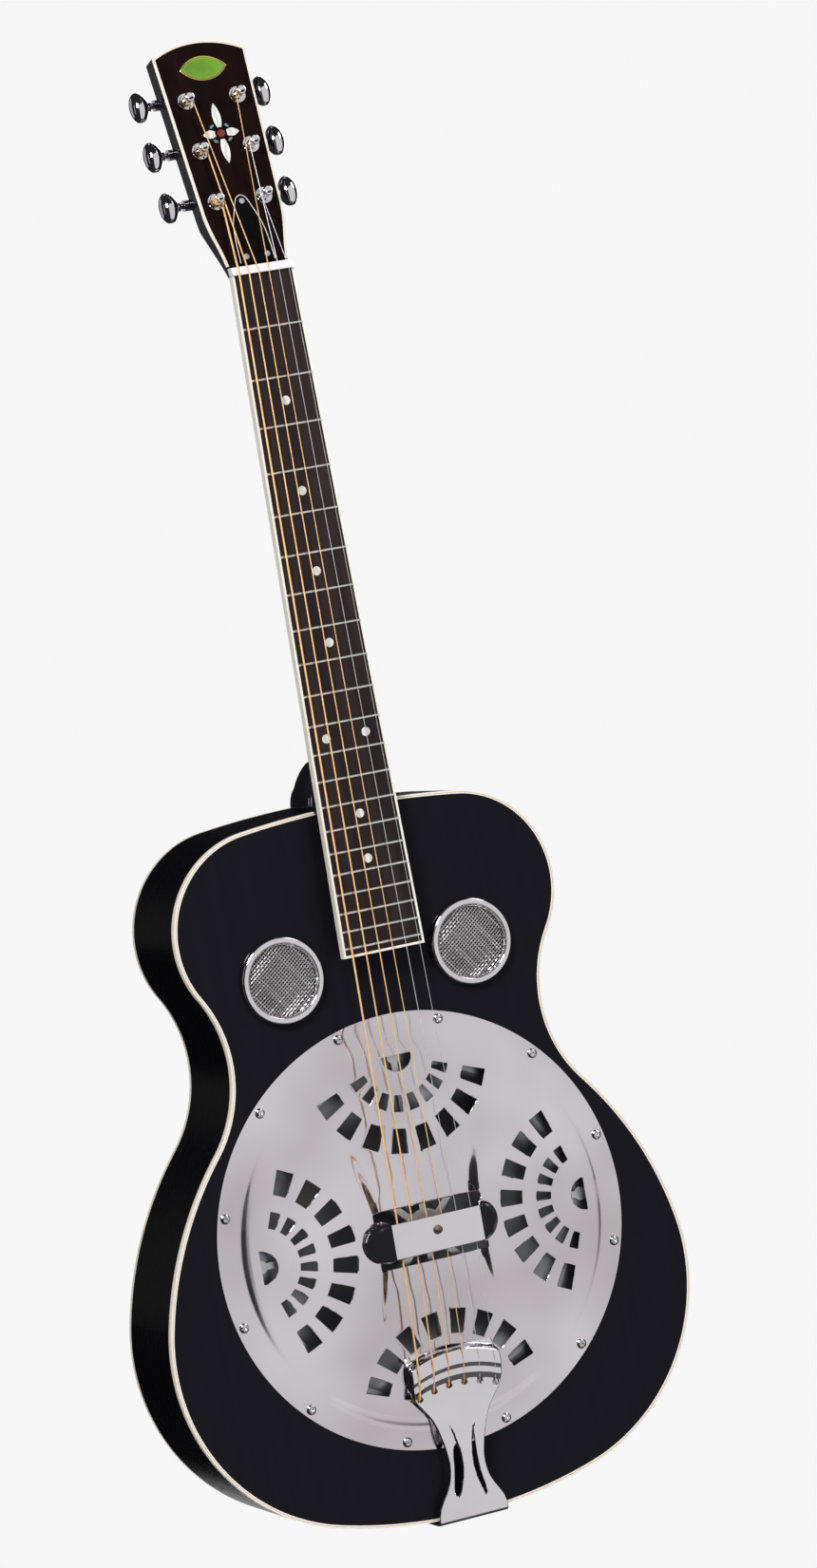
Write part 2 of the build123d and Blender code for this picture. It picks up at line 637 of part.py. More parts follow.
def channel_prism(grow):
    """Space above the string channel, where the cover is lower: two opposite wedges and the slot."""
    x = 36.0 + grow
    spread = CHANNEL_SPREAD
    far_x = 130 * sin(radians(spread))
    far_z = 130 * cos(radians(spread))
    points = [(x, -16), (x, 16), (far_x, far_z), (-far_x, far_z)]
    points += [(-a, -b) for a, b in points]
    return extrude(front_plane(-3) * Pos(0, CONE_Z) * make_face(Polyline(*points, close=True)), 40)


def fan_slot(angle, inner, outer, half_angle):
    """One slot of a fan, as a four-sided opening about the fan's focus."""
    points = []
    for radius, turn in [(inner, -half_angle), (outer, -half_angle),
                         (outer, half_angle), (inner, half_angle)]:
        bearing = radians(angle + turn)
        points.append((radius * sin(bearing), -radius * cos(bearing)))
    return make_face(Polyline(*points, close=True))


def fan():
    """Openings of one fan, around a focus at the origin, opening towards -y."""
    arc = ThreePointArc((-HALF_MOON_R, 0), (0, -HALF_MOON_R), (HALF_MOON_R, 0))
    shapes = [make_face([arc, Line((HALF_MOON_R, 0), (-HALF_MOON_R, 0))])]
    for n in range(8):
        for inner, outer in FAN_ROWS:
            shapes.append(fan_slot((n - 3.5) * FAN_STEP, inner, outer, FAN_SLOT_HALF))
    return shapes


def dome_head(x, z, low, radius, height):
    """Round screw head."""
    ball = (radius ** 2 + height ** 2) / (2 * height)
    centre = Pos(x, -HALF_DEPTH - low - height + ball, z)
    return (centre * Sphere(ball)) & peg(MAIN, x, z, low, low + height + 1, radius)


def make_cover():
    outer = dome(LOW_DOME, 0) + (dome(HIGH_DOME, 0) - channel_prism(0))
    inner = dome(LOW_DOME, COVER_SHEET) + (dome(HIGH_DOME, COVER_SHEET) - channel_prism(COVER_SHEET))
    flange = peg(MAIN, 0, CONE_Z, 0, 1.2, COVER_R) - peg(MAIN, 0, CONE_Z, -5, 5, 132.5)
    cover = (outer - inner) + flange
    slot = extrude(front_plane(-3) * Pos(0, CONE_Z) * Rectangle(2 * SLOT_HALF_X, 2 * SLOT_HALF_Z), 40)
    cutters = [slot]
    for quarter in range(4):
        for shape in fan():
            placed = Pos(0, CONE_Z) * Rot(0, 0, -90 * quarter) * Pos(0, FAN_FOCUS_R) * shape
            cutters.append(extrude(front_plane(-3) * placed, 40))
    screws = []
    for n in range(12):
        angle = radians(15 + 30 * n)
        x = COVER_SCREW_R * sin(angle)
        z = CONE_Z + COVER_SCREW_R * cos(angle)
        cutters.append(peg(MAIN, x, z, -2, 3, 1.6))
        screws.append(peg(MAIN, x, z, 0, 1.2, 1.6) + dome_head(x, z, 1.2, 3.5, 2.0))
    cover -= cutters
    save(cover, "cover_plate")
    save(screws, "cover_screws")
    return outer


def make_palm_rest(cover_outer):
    """Bent strap that arches over the saddle."""
    path = FilletPolyline(*PALM_REST_PATH, radius=PALM_REST_BEND)
    upright = Plane(origin=(0, -HALF_DEPTH, CONE_Z), x_dir=(1, 0, 0), z_dir=(0, 0, -1))
    strap = extrude(upright * trace(path, PALM_REST_SHEET), PALM_REST_HALF, both=True)
    strap -= peg(MAIN, 0, CONE_Z + 2, 20, 40, 3.0)
    save(strap - cover_outer, "palm_rest")


# ---------------------------------------------------------------- tailpiece, strap button, screens
TAIL_TOP_Z = 121.5
TAIL_HALF_WIDTHS = [(33.5, 121.5), (33.5, 98.0), (31.0, 90.0), (26.5, 85.0), (20.5, 76.0), (17.0, 66.0),
                    (14.3, 56.0), (13.0, 45.0), (13.5, 38.0), (15.0, 31.0), (17.5, 26.0), (21.0, 21.0),
                    (25.3, 9.0)]
TAIL_PROFILE = [(-13.4, 121.0), (-18.4, 111.0), (-14.2, 98.5), (-13.6, 85.0), (-10.4, 56.0), (-6.0, 5.0),
                (40.0, 5.0)]
BALL_DEPTH = 11.0             # height of the ball ends, behind the tailpiece
BALL_R = 1.9


def hole_z(position):
    """Tailpiece holes lie on a shallow arc."""
    return 97.2 - 5.0 * (position / 2.5) ** 2


def make_tailpiece(strings):
    path = FilletPolyline(*[(h, z) for h, z in TAIL_PROFILE], radius=3.5)
    on_side = Plane(origin=(0, -HALF_DEPTH, 0), x_dir=(0, 1, 0), z_dir=(1, 0, 0))
    strap = extrude(on_side * trace(path, TAIL_SHEET), 40, both=True)
    right = Spline(*TAIL_HALF_WIDTHS)
    plan = make_face([Line((-33.5, TAIL_TOP_Z), (33.5, TAIL_TOP_Z)), right,
                      Line((25.3, 9.0), (25.3, -2)), Line((25.3, -2), (-25.3, -2)),
                      Line((-25.3, -2), (-25.3, 9.0)), right.mirror(Plane.YZ)])
    strap &= extrude(front_plane(-60) * plan, 120)
    # The strap's end narrows behind the strap button.
    right_side = [(25.3, -60), (25.3, -28), (12, 12)]
    tongue = make_face(Polyline(*right_side, *[(-a, b) for a, b in reversed(right_side)], close=True))
    strap &= extrude(Plane.XY.offset(-5) * tongue, 200)
    holes = [peg(MAIN, p * TAIL_PITCH, hole_z(p), 5, 20, TAIL_HOLE_R) for p in STRING_POSITIONS]
    strap -= holes
    strap -= Pos(0, 0, 5) * Cylinder(STRAP_SCREW_R, 10)
    save(strap - strings, "tailpiece")


def make_strap_button():
    profile = [(0, 0), (6.2, 0), (6.9, 0.7), (6.9, 1.7), (4.2, 2.6), (4.2, 3.2), (5.6, 4.3), (0, 4.3)]
    head = revolve(Plane.XZ * make_face(Polyline(*profile, close=True)), Axis.Z)
    screw = Pos(0, 0, 4.3) * Cylinder(STRAP_SCREW_R, 20, align=(Align.CENTER, Align.CENTER, Align.MIN))
    save(head + screw, "strap_button")


def make_screens():
    rings = []
    meshes = []
    ring_profile = [(29.9, 0), (29.9, 2.2), (28.6, 4.4), (26.6, 5.7), (24.9, 5.9), (23.4, 4.6), (23.4, 3.0),
                    (24.6, 3.0), (24.6, -4.0), (26.4, -4.0), (26.4, 0)]
    mesh_profile = [(0, 4.2), (14, 3.7), (24.4, 2.2), (24.4, 1.4), (14, 2.9), (0, 3.4)]
    for side in (-1, 1):
        rings.append(Pos(side * SCREEN_X, 0, 0) * turned(ring_profile, SCREEN_Z))
        meshes.append(Pos(side * SCREEN_X, 0, 0) * turned(mesh_profile, SCREEN_Z))
    save(rings, "screen_rings")
    save(meshes, "screen_meshes")


# ---------------------------------------------------------------- strings
def at(x, h, z):
    return Vector(x, -HALF_DEPTH - h, z)


def string_points(k):
    """Route of one string: ball end, tailpiece edge, saddle, nut and the edge of its winding."""
    position = STRING_POSITIONS[k]
    radius = STRING_DIAMETERS[k] / 2
    x, s = POSTS[k]
    side = 1 if x > 0 else -1
    post_side = x - side * (POST_WAIST_R + 3 * radius + WINDING_GAP)
    end = HEAD.from_local_coords((post_side, s - 0.5, WINDING_LOW[k] + radius))
    tail_x = position * TAIL_PITCH
    return [
        at(tail_x, BALL_DEPTH, hole_z(position) - 1.0),
        at(tail_x, 14.6, hole_z(position) + 0.6),
        at(tail_x, 19.4 + radius, 110.5),
        at(position * SADDLE_PITCH, STRING_AT_SADDLE + radius, SADDLE_Z),
        at(position * NUT_PITCH, STRING_AT_NUT + radius, NUT_Z + 0.8),
        end,
    ]


def make_string(k):
    radius = STRING_DIAMETERS[k] / 2
    path = FilletPolyline(*string_points(k), radius=[2.0, 6.0, 8.0, 4.0])
    start = path.position_at(0)
    section = Plane(origin=start, z_dir=path.tangent_at(0)) * Circle(radius)
    body = sweep(section, path=path)
    print(f"string {k + 1}: {path.length:.1f} mm long")
    to_start = (Align.CENTER, Align.CENTER, Align.MAX)
    ball = Plane(origin=start, z_dir=path.tangent_at(0)) * Cylinder(BALL_R, 2.0, align=to_start)
    return [body, ball]


def make_strings():
    solids = [make_string(k) for k in range(6)]
    save([s for pair in solids[:4] for s in pair], "strings_wound")
    save([s for pair in solids[4:] for s in pair], "strings_plain")
    return [pair[0] for pair in solids]


def main():
    os.makedirs("parts", exist_ok=True)
    make_plates()
    make_rims()
    make_blocks()
    make_inside()
    make_fretboard()
    make_support()
    make_neck()
    strings = make_strings()
    make_nut(strings)
    make_head_parts()
    make_housings()
    make_keys()
    make_posts()
    make_cone()
    make_spider()
    make_saddle(strings)
    cover_outer = make_cover()
    make_palm_rest(cover_outer)
    make_tailpiece(strings)
    make_strap_button()
    make_screens()


main()
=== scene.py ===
from math import cos, degrees, hypot, pi, radians, sin, sqrt

import bpy
import numpy as np
from mathutils import Matrix, Vector
from mathutils.geometry import delaunay_2d_cdt


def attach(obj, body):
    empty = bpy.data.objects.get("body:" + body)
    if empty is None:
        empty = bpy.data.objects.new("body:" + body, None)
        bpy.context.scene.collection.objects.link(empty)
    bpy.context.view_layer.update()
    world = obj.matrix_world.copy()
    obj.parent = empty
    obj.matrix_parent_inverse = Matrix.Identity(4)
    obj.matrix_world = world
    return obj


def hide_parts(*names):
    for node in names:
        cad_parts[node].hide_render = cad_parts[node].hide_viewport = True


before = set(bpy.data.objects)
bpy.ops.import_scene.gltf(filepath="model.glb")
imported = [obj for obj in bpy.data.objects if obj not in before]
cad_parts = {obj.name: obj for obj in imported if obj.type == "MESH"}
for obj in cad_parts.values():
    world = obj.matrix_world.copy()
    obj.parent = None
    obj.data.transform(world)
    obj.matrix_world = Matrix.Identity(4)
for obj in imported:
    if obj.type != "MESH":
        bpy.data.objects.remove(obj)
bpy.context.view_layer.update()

# ---- places and sizes, in millimetres
MM = 0.001
ROOT = "guitar"
HALF_DEPTH = 40.0
BODY_BOTTOM = 6.4
BODY_ARCS = [(345.7, 15.6), (130.4, 86.0), (240.0, 28.5), (87.2, -72.15), (67.3, 115.0)]
RIM = 2.2
CONE_Z = 200.0
SADDLE_Z = 202.0
NUT_Z = 841.0
HEAD_TILT = radians(15.5)
HEAD_ORIGIN = Vector((0.0, -44.5, 843.0))
COVER_R = 145.75
COVER_SCREW_R = 140.5
FAN_FOCUS_R = 118.5
FAN_STEP = 18.67
SLOT_HALF_X = 38.7
SLOT_HALF_Z = 19.2
SCREEN_X = 68.5
SCREEN_Z = 382.0
POSTS = [(-17.2, 50.0), (-18.2, 86.2), (-18.4, 121.7), (18.4, 121.7), (18.2, 86.2), (17.2, 50.0)]
KEY_OFFSET = 7.0
KEY_DEPTH = -18.5
STRING_DIAMETERS = [1.35, 1.05, 0.80, 0.60, 0.42, 0.33]
STRING_POSITIONS = [-2.5, -1.5, -0.5, 0.5, 1.5, 2.5]
WINDING_LOW = [2.7, 4.6, 5.2, 5.2, 4.6, 2.7]
WINDING_TURNS = [2, 2, 2, 3, 4, 5]
POST_WAIST_R = 2.3


def front(x, z, h):
    """Point at height h in front of the top plate."""
    return Vector((x, -HALF_DEPTH - h, z)) * MM


def head(x, s, n):
    """Point on the headstock: s along it from the nut, n in front of its face."""
    up = Vector((0.0, sin(HEAD_TILT), cos(HEAD_TILT)))
    out = Vector((0.0, -cos(HEAD_TILT), sin(HEAD_TILT)))
    return (HEAD_ORIGIN + Vector((x, 0, 0)) + up * s + out * n) * MM


# ---- camera
CAMERA_TARGET = Vector((0.0445, -0.040, 0.4925))
CAMERA_DISTANCE = 3.4919
CAMERA_YAW = radians(22.776)
CAMERA_PITCH = radians(3.47)
CAMERA_ROLL = radians(-9.713)
CAMERA_LENS = 120.9


def make_camera():
    flat = cos(CAMERA_PITCH)
    back = Vector((-sin(CAMERA_YAW) * flat, -cos(CAMERA_YAW) * flat, sin(CAMERA_PITCH)))
    level = (-back).cross(Vector((0, 0, 1))).normalized()
    upright = level.cross(-back)
    right = cos(CAMERA_ROLL) * level + sin(CAMERA_ROLL) * upright
    up = -sin(CAMERA_ROLL) * level + cos(CAMERA_ROLL) * upright
    data = bpy.data.cameras.new("photo_view")
    data.sensor_fit = "VERTICAL"
    data.sensor_height = 36.0
    data.lens = CAMERA_LENS
    data.clip_end = 50.0
    camera = bpy.data.objects.new("photo_view", data)
    bpy.context.scene.collection.objects.link(camera)
    turn = Matrix((right, up, back)).transposed().to_4x4()
    camera.matrix_world = Matrix.Translation(CAMERA_TARGET + back * CAMERA_DISTANCE) @ turn
    bpy.context.scene.camera = camera


# ---- studio
BACKDROP = 0.93
FRONT_RIGHT = Vector((0.386, -0.92, -0.06)).normalized()


LIGHT_TARGET = Vector((0, 0, 0.5))
# Name, direction from the target, then distance, width and height in metres, and radiance.
SOFTBOXES = [
    ("front_card", FRONT_RIGHT, 2.6, 4.5, 5.6, 0.68),
    ("key_box", (-0.75, -0.9, 0.9), 3.0, 0.8, 0.8, 36.0),
    ("right_high_box", (0.75, -0.45, 0.75), 2.6, 0.7, 0.9, 4.5),
    ("low_card", (0.2, -0.45, -0.9), 2.6, 2.0, 1.5, 0.08),
    ("back_card", (0.42, 0.9, -0.38), 2.6, 1.7, 1.8, 0.8),
    ("left_strip", (-1.0, -0.05, 0.3), 2.6, 0.25, 1.6, 0.7),
    ("back_left_box", (-0.75, 1.0, 0.35), 2.8, 1.6, 2.2, 0.4),
    ("back_right_box", (0.8, 0.9, 0.45), 2.8, 1.4, 2.6, 3.0),
]
FLOOR_R = 1.1
FLOOR_Z = -0.36
FLOOR_SIDES = 96


def add_softbox(name, direction, distance, width, height, radiance):
    """A rectangular light that faces the guitar; its radiance is what a mirror shows of it."""
    data = bpy.data.lights.new(name, "AREA")
    data.shape = "RECTANGLE"
    data.size = width
    data.size_y = height
    data.energy = radiance * width * height * pi
    light = bpy.data.objects.new(name, data)
    bpy.context.scene.collection.objects.link(light)
    direction = Vector(direction).normalized()
    light.location = LIGHT_TARGET + direction * distance
    light.rotation_euler = direction.to_track_quat("Z", "Y").to_euler()
    light.visible_camera = False


def make_studio():
    world = bpy.data.worlds.new("studio")
    bpy.context.scene.world = world
    world.use_nodes = True
    nodes, links = world.node_tree.nodes, world.node_tree.links
    nodes.clear()
    output = nodes.new("ShaderNodeOutputWorld")
    mix = nodes.new("ShaderNodeMixShader")
    path = nodes.new("ShaderNodeLightPath")
    seen = nodes.new("ShaderNodeBackground")
    seen.inputs["Color"].default_value = (BACKDROP, BACKDROP, BACKDROP, 1)
    dim = nodes.new("ShaderNodeBackground")
    dim.inputs["Color"].default_value = (0.02, 0.02, 0.023, 1)
    links.new(path.outputs["Is Camera Ray"], mix.inputs[0])
    links.new(dim.outputs[0], mix.inputs[1])
    links.new(seen.outputs[0], mix.inputs[2])
    links.new(mix.outputs[0], output.inputs[0])
    bpy.context.scene.view_settings.view_transform = "Standard"
    bpy.context.scene.view_settings.look = "None"

    for softbox in SOFTBOXES:
        add_softbox(*softbox)


def make_floor(material):
    turns = np.linspace(0, 2 * pi, FLOOR_SIDES, endpoint=False)
    ring = [Vector((FLOOR_R * cos(a), FLOOR_R * sin(a), FLOOR_Z)) for a in turns]
    mesh = bpy.data.meshes.new("floor")
    mesh.from_pydata(ring, [], [list(range(FLOOR_SIDES))])
    mesh.materials.append(material)
    floor = bpy.data.objects.new("floor", mesh)
    bpy.context.scene.collection.objects.link(floor)
    floor.visible_glossy = False


# ---- material kit
def set_inputs(node, values):
    for name, value in values.items():
        node.inputs[name].default_value = value


def new_material(name, colour, metallic=0.0, roughness=0.4, ior=1.5, coat=0.0):
    material = bpy.data.materials.new(name)
    material.use_nodes = True
    shader = material.node_tree.nodes["Principled BSDF"]
    set_inputs(shader, {"Base Color": (*colour, 1), "Metallic": metallic, "Roughness": roughness, "IOR": ior,
                        "Coat Weight": coat, "Coat Roughness": 0.05})
    return material, shader


def add_node(material, kind, values=None):
    node = material.node_tree.nodes.new(kind)
    set_inputs(node, values or {})
    return node


def link(material, out_socket, in_socket):
    material.node_tree.links.new(out_socket, in_socket)


def place_texture(material, texture, stretch=(1, 1, 1), move=(0, 0, 0)):
    """Object coordinates, stretched and moved, into a texture."""
    source = add_node(material, "ShaderNodeTexCoord")
    mapping = add_node(material, "ShaderNodeMapping", {"Scale": stretch, "Location": move})
    link(material, source.outputs["Object"], mapping.inputs["Vector"])
    link(material, mapping.outputs["Vector"], texture.inputs["Vector"])


def noise(material, scale, detail=3.0, stretch=(1, 1, 1), roughness=0.5):
    values = {"Scale": scale, "Detail": detail, "Roughness": roughness}
    texture = add_node(material, "ShaderNodeTexNoise", values)
    place_texture(material, texture, stretch)
    return texture.outputs["Fac"]


def gloss(material, shader, value, low, high):
    """Roughness that goes from low to high as a value goes from 0.3 to 0.7."""
    values = {"From Min": 0.3, "From Max": 0.7, "To Min": low, "To Max": high}
    node = add_node(material, "ShaderNodeMapRange", values)
    link(material, value, node.inputs["Value"])
    link(material, node.outputs["Result"], shader.inputs["Roughness"])


def tint(material, shader, value, stops):
    """Base colour from a ramp of (place, colour) stops over a value."""
    node = add_node(material, "ShaderNodeValToRGB")
    elements = node.color_ramp.elements
    while len(elements) < len(stops):
        elements.new(0.5)
    for element, (place, colour) in zip(elements, stops):
        element.position = place
        element.color = (*colour, 1)
    link(material, value, node.inputs["Fac"])
    link(material, node.outputs["Color"], shader.inputs["Base Color"])


def bump(material, shader, value, distance, strength):
    node = add_node(material, "ShaderNodeBump", {"Distance": distance, "Strength": strength})
    link(material, value, node.inputs["Height"])
    link(material, node.outputs["Normal"], shader.inputs["Normal"])


# ---- materials
def lacquer(name, ior):
    """Gloss black lacquer over a nearly hidden grain."""
    m, s = new_material(name, (0.010, 0.0093, 0.014), roughness=0.08, ior=ior)
    s.inputs["Specular Tint"].default_value = (0.86, 0.82, 1.0, 1)
    grain = noise(m, 60, 4, (3, 3, 0.15))
    tint(m, s, grain, [(0.3, (0.0088, 0.0083, 0.0116)), (0.7, (0.0098, 0.0092, 0.013))])
    gloss(m, s, noise(m, 9, 2), 0.05, 0.11)
    bump(m, s, noise(m, 120, 2), 0.00001, 0.2)
    return m


def rim_lacquer():
    """Black lacquer on the rims, where the grain of the wood telegraphs through."""
    m, s = new_material("rim_lacquer", (0.002, 0.002, 0.0026), roughness=0.2, ior=1.08)
    grain = noise(m, 220, 5, (1, 6, 0.12), 0.65)
    tint(m, s, grain, [(0.35, (0.0012, 0.0012, 0.0016)), (0.7, (0.0052, 0.005, 0.0062))])
    gloss(m, s, grain, 0.14, 0.34)
    bump(m, s, grain, 0.0001, 0.5)
    return m


def satin_nickel():
    m, s = new_material("satin_nickel", (0.74, 0.69, 0.74), metallic=1.0, roughness=0.1)
    # Painted reflection: broad lighter and darker patches in the base colour stand in for uneven reflections
    # of the lights on the plate.
    painted_sheen = noise(m, 9, 2)
    tint(m, s, painted_sheen, [(0.35, (0.63, 0.585, 0.62)), (0.65, (0.84, 0.795, 0.84))])
    gloss(m, s, noise(m, 45, 4), 0.08, 0.13)
    bump(m, s, noise(m, 900, 3), 0.00001, 0.25)
    return m


def chrome():
    m, s = new_material("bright_chrome", (0.80, 0.77, 0.80), metallic=1.0, roughness=0.05)
    gloss(m, s, noise(m, 60, 4), 0.03, 0.085)
    tint(m, s, noise(m, 25, 2), [(0.3, (0.77, 0.74, 0.77)), (0.7, (0.83, 0.80, 0.83))])
    bump(m, s, noise(m, 260, 2), 0.00001, 0.15)
    return m


def ivory():
    m, s = new_material("ivory_plastic", (0.95, 0.90, 0.79), roughness=0.3, ior=1.48)
    set_inputs(s, {"Subsurface Weight": 0.15, "Subsurface Radius": (0.002, 0.0015, 0.001)})
    grain = noise(m, 300, 3, (1, 1, 0.08))
    tint(m, s, grain, [(0.3, (0.93, 0.87, 0.74)), (0.7, (0.98, 0.95, 0.88))])
    gloss(m, s, noise(m, 90, 2), 0.22, 0.4)
    return m


def rosewood():
    """Fretboard wood: dark streaks along the neck with open pores."""
    m, s = new_material("rosewood", (0.04, 0.022, 0.022), roughness=0.5, ior=1.3)
    streak = noise(m, 90, 6, (1, 1, 0.06), 0.6)
    tint(m, s, streak, [(0.28, (0.008, 0.0044, 0.0048)), (0.5, (0.019, 0.0105, 0.0115)),
                        (0.75, (0.042, 0.0235, 0.0225))])
    pores = noise(m, 900, 4, (1, 1, 0.05), 0.7)
    gloss(m, s, pores, 0.36, 0.62)
    bump(m, s, pores, 0.00008, 0.5)
    return m


def head_wood():
    m, s = new_material("head_veneer", (0.012, 0.004, 0.003), roughness=0.14, ior=1.14)
    streak = noise(m, 80, 5, (1, 1, 0.08), 0.6)
    tint(m, s, streak, [(0.3, (0.004, 0.0014, 0.0012)), (0.6, (0.0095, 0.0035, 0.0028)),
                        (0.8, (0.018, 0.007, 0.005))])
    return m


def bare_wood(name, dark, light):
    m, s = new_material(name, light, roughness=0.62)
    streak = noise(m, 60, 5, (1, 1, 0.07), 0.6)
    tint(m, s, streak, [(0.3, dark), (0.7, light)])
    bump(m, s, noise(m, 500, 3, (1, 1, 0.1)), 0.00008, 0.4)
    return m


def shell_inlay(name, colour, roughness, wave, stops):
    """Polished shell with swirling bands."""
    m, s = new_material(name, colour, roughness=roughness, ior=1.6, coat=0.5)
    swirl = add_node(m, "ShaderNodeTexWave", wave)
    place_texture(m, swirl)
    tint(m, s, swirl.outputs["Color"], stops)
    return m


PEARL_WAVE = {"Scale": 60, "Distortion": 9, "Detail": 3}
PEARL_STOPS = [(0.1, (0.62, 0.66, 0.60)), (0.45, (0.82, 0.79, 0.74)), (0.7, (0.78, 0.70, 0.70)),
               (0.95, (0.90, 0.90, 0.86))]
ABALONE_WAVE = {"Scale": 160, "Distortion": 12}
ABALONE_STOPS = [(0.1, (0.03, 0.10, 0.12)), (0.5, (0.10, 0.42, 0.42)), (0.9, (0.30, 0.22, 0.25))]


def plain(name, colour, roughness=0.3, metallic=0.0, scale=120.0, change=0.12, ior=1.5):
    """A plain coloured finish with slight mottling and uneven gloss."""
    m, s = new_material(name, colour, metallic=metallic, roughness=roughness, ior=ior)
    darker = tuple(c * (1 - change) for c in colour)
    lighter = tuple(min(1.0, c * (1 + change)) for c in colour)
    tint(m, s, noise(m, scale, 3), [(0.3, darker), (0.7, lighter)])
    gloss(m, s, noise(m, scale * 2, 2), roughness * 0.8, roughness * 1.25)
    return m


def wound_bronze():
    """Bronze wrap wire: fine ridges across a string that runs nearly along Z."""
    m, s = new_material("wound_bronze", (1.0, 0.60, 0.28), metallic=0.3, roughness=0.34)
    wave = add_node(m, "ShaderNodeTexWave", {"Scale": 900})
    wave.bands_direction = "Z"
    place_texture(m, wave)
    tint(m, s, noise(m, 50, 3), [(0.3, (1.0, 0.53, 0.22)), (0.7, (1.0, 0.68, 0.35))])
    bump(m, s, wave.outputs["Fac"], 0.00006, 0.7)
    return m


def spun_metal():
    """Turned rings about the cone's axis."""
    m, s = new_material("spun_aluminium", (0.32, 0.33, 0.36), metallic=1.0, roughness=0.45)
    wave = add_node(m, "ShaderNodeTexWave", {"Scale": 160, "Distortion": 0.6})
    wave.wave_type = "RINGS"
    wave.rings_direction = "Y"
    place_texture(m, wave, move=(0, 0, -CONE_Z * MM))
    gloss(m, s, wave.outputs["Fac"], 0.3, 0.38)
    bump(m, s, wave.outputs["Fac"], 0.00001, 0.2)
    return m


def floor_material():
    m, s = new_material("pale_floor", (0.86, 0.86, 0.86), roughness=0.8)
    tint(m, s, noise(m, 2.5, 2), [(0.3, (0.85, 0.85, 0.85)), (0.7, (0.88, 0.88, 0.88))])
    set_inputs(s, {"Emission Color": (1, 1, 1, 1), "Emission Strength": 0.35})
    return m


MATERIALS = {}


def make_materials():
    MATERIALS.update(
        lacquer=lacquer("black_lacquer", 1.12),
        neck_lacquer=lacquer("neck_lacquer", 1.18),
        back_lacquer=lacquer("back_lacquer", 1.38),
        rim=rim_lacquer(),
        nickel=satin_nickel(),
        chrome=chrome(),
        ivory=ivory(),
        rosewood=rosewood(),
        head_wood=head_wood(),
        spruce=bare_wood("spruce", (0.50, 0.34, 0.19), (0.68, 0.52, 0.33)),
        maple=bare_wood("maple", (0.52, 0.36, 0.20), (0.72, 0.56, 0.36)),
        pearl=shell_inlay("pearl", (0.8, 0.78, 0.74), 0.18, PEARL_WAVE, PEARL_STOPS),
        abalone=shell_inlay("abalone", (0.1, 0.35, 0.35), 0.2, ABALONE_WAVE, ABALONE_STOPS),
        bone=plain("bone", (0.90, 0.86, 0.90), 0.32, scale=90, change=0.04),
        fret=plain("fret_wire", (0.78, 0.76, 0.74), 0.16, 1.0),
        steel=plain("plated_steel", (0.66, 0.66, 0.67), 0.2, 1.0),
        plain_string=plain("plain_string", (0.84, 0.85, 0.88), 0.34, 0.5),
        bronze=wound_bronze(),
        spun=spun_metal(),
        cast=plain("cast_aluminium", (0.55, 0.55, 0.56), 0.38, 1.0, 200),
        dark_steel=plain("dark_steel", (0.2, 0.2, 0.21), 0.45, 1.0),
        black_plastic=plain("black_plastic", (0.003, 0.003, 0.0034), 0.12, ior=1.12),
        amber_line=plain("amber_line", (0.62, 0.30, 0.12), 0.3, change=0.1),
        red_stone=plain("red_brown_inlay", (0.20, 0.022, 0.008), 0.2),
        green_enamel=plain("green_enamel", (0.12, 0.30, 0.015), 0.25, scale=60, change=0.2),
        gilt=plain("gilt_rim", (0.85, 0.55, 0.18), 0.2, 1.0),
        screen=plain("screen_wire", (0.98, 0.93, 0.95), 0.3, 1.0, scale=30, change=0.04),
        # Painted shade: dark finish of the disc behind each screen, standing in for the unlit inside of the
        # body.
        dark_inside=plain("dark_inside", (0.02, 0.018, 0.016), 0.8),
    )


# ---- mesh kit
def add_piece(name, verts, faces, materials, body=ROOT, replaces=(), sharp=35, face_slots=None):
    """A mesh object in the row frame that rides on a body. Vertices are in metres."""
    mesh = bpy.data.meshes.new(name)
    mesh.from_pydata([tuple(v) for v in verts], [], [tuple(f) for f in faces])
    if not isinstance(materials, (list, tuple)):
        materials = [materials]
    for material in materials:
        mesh.materials.append(MATERIALS[material])
    if face_slots is not None:
        mesh.polygons.foreach_set("material_index", face_slots)
    mesh.validate()
    mesh.update()
    mesh.polygons.foreach_set("use_smooth", [True] * len(mesh.polygons))
    mesh.set_sharp_from_angle(angle=radians(sharp))
    piece = bpy.data.objects.new(name, mesh)
    bpy.context.scene.collection.objects.link(piece)
    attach(piece, body)
    if replaces:
        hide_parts(*replaces)
    return piece


class Build:
    """Collects vertices and faces of several shapes for one piece."""

    def __init__(self):
        self.verts = []
        self.faces = []
        self.slots = []

    def add(self, verts, faces, slot=0):
        start = len(self.verts)
        self.verts += list(verts)
        self.faces += [tuple(i + start for i in f) for f in faces]
        self.slots += [slot] * len(faces)


def grid_faces(rows, columns, wrap_rows=False, wrap_columns=False):
    faces = []
    for i in range(rows if wrap_rows else rows - 1):
        for j in range(columns if wrap_columns else columns - 1):
            a = i * columns + j
            b = i * columns + (j + 1) % columns
            c = ((i + 1) % rows) * columns + (j + 1) % columns
            d = ((i + 1) % rows) * columns + j
            faces.append((a, b, c, d))
    return faces


def circle(count):
    """Cosine and sine of evenly spaced angles."""
    return [(cos(2 * pi * k / count), sin(2 * pi * k / count)) for k in range(count)]


def end_caps(count, total):
    """Faces that close the first and the last ring of count points."""
    return [tuple(reversed(range(count))), tuple(range(total - count, total))]


def placer(point, x, y, rise=0.0):
    """A function that places offsets from (x, y), where point is front or head."""
    return lambda a, b, n: point(x + a, y + b, rise + n)


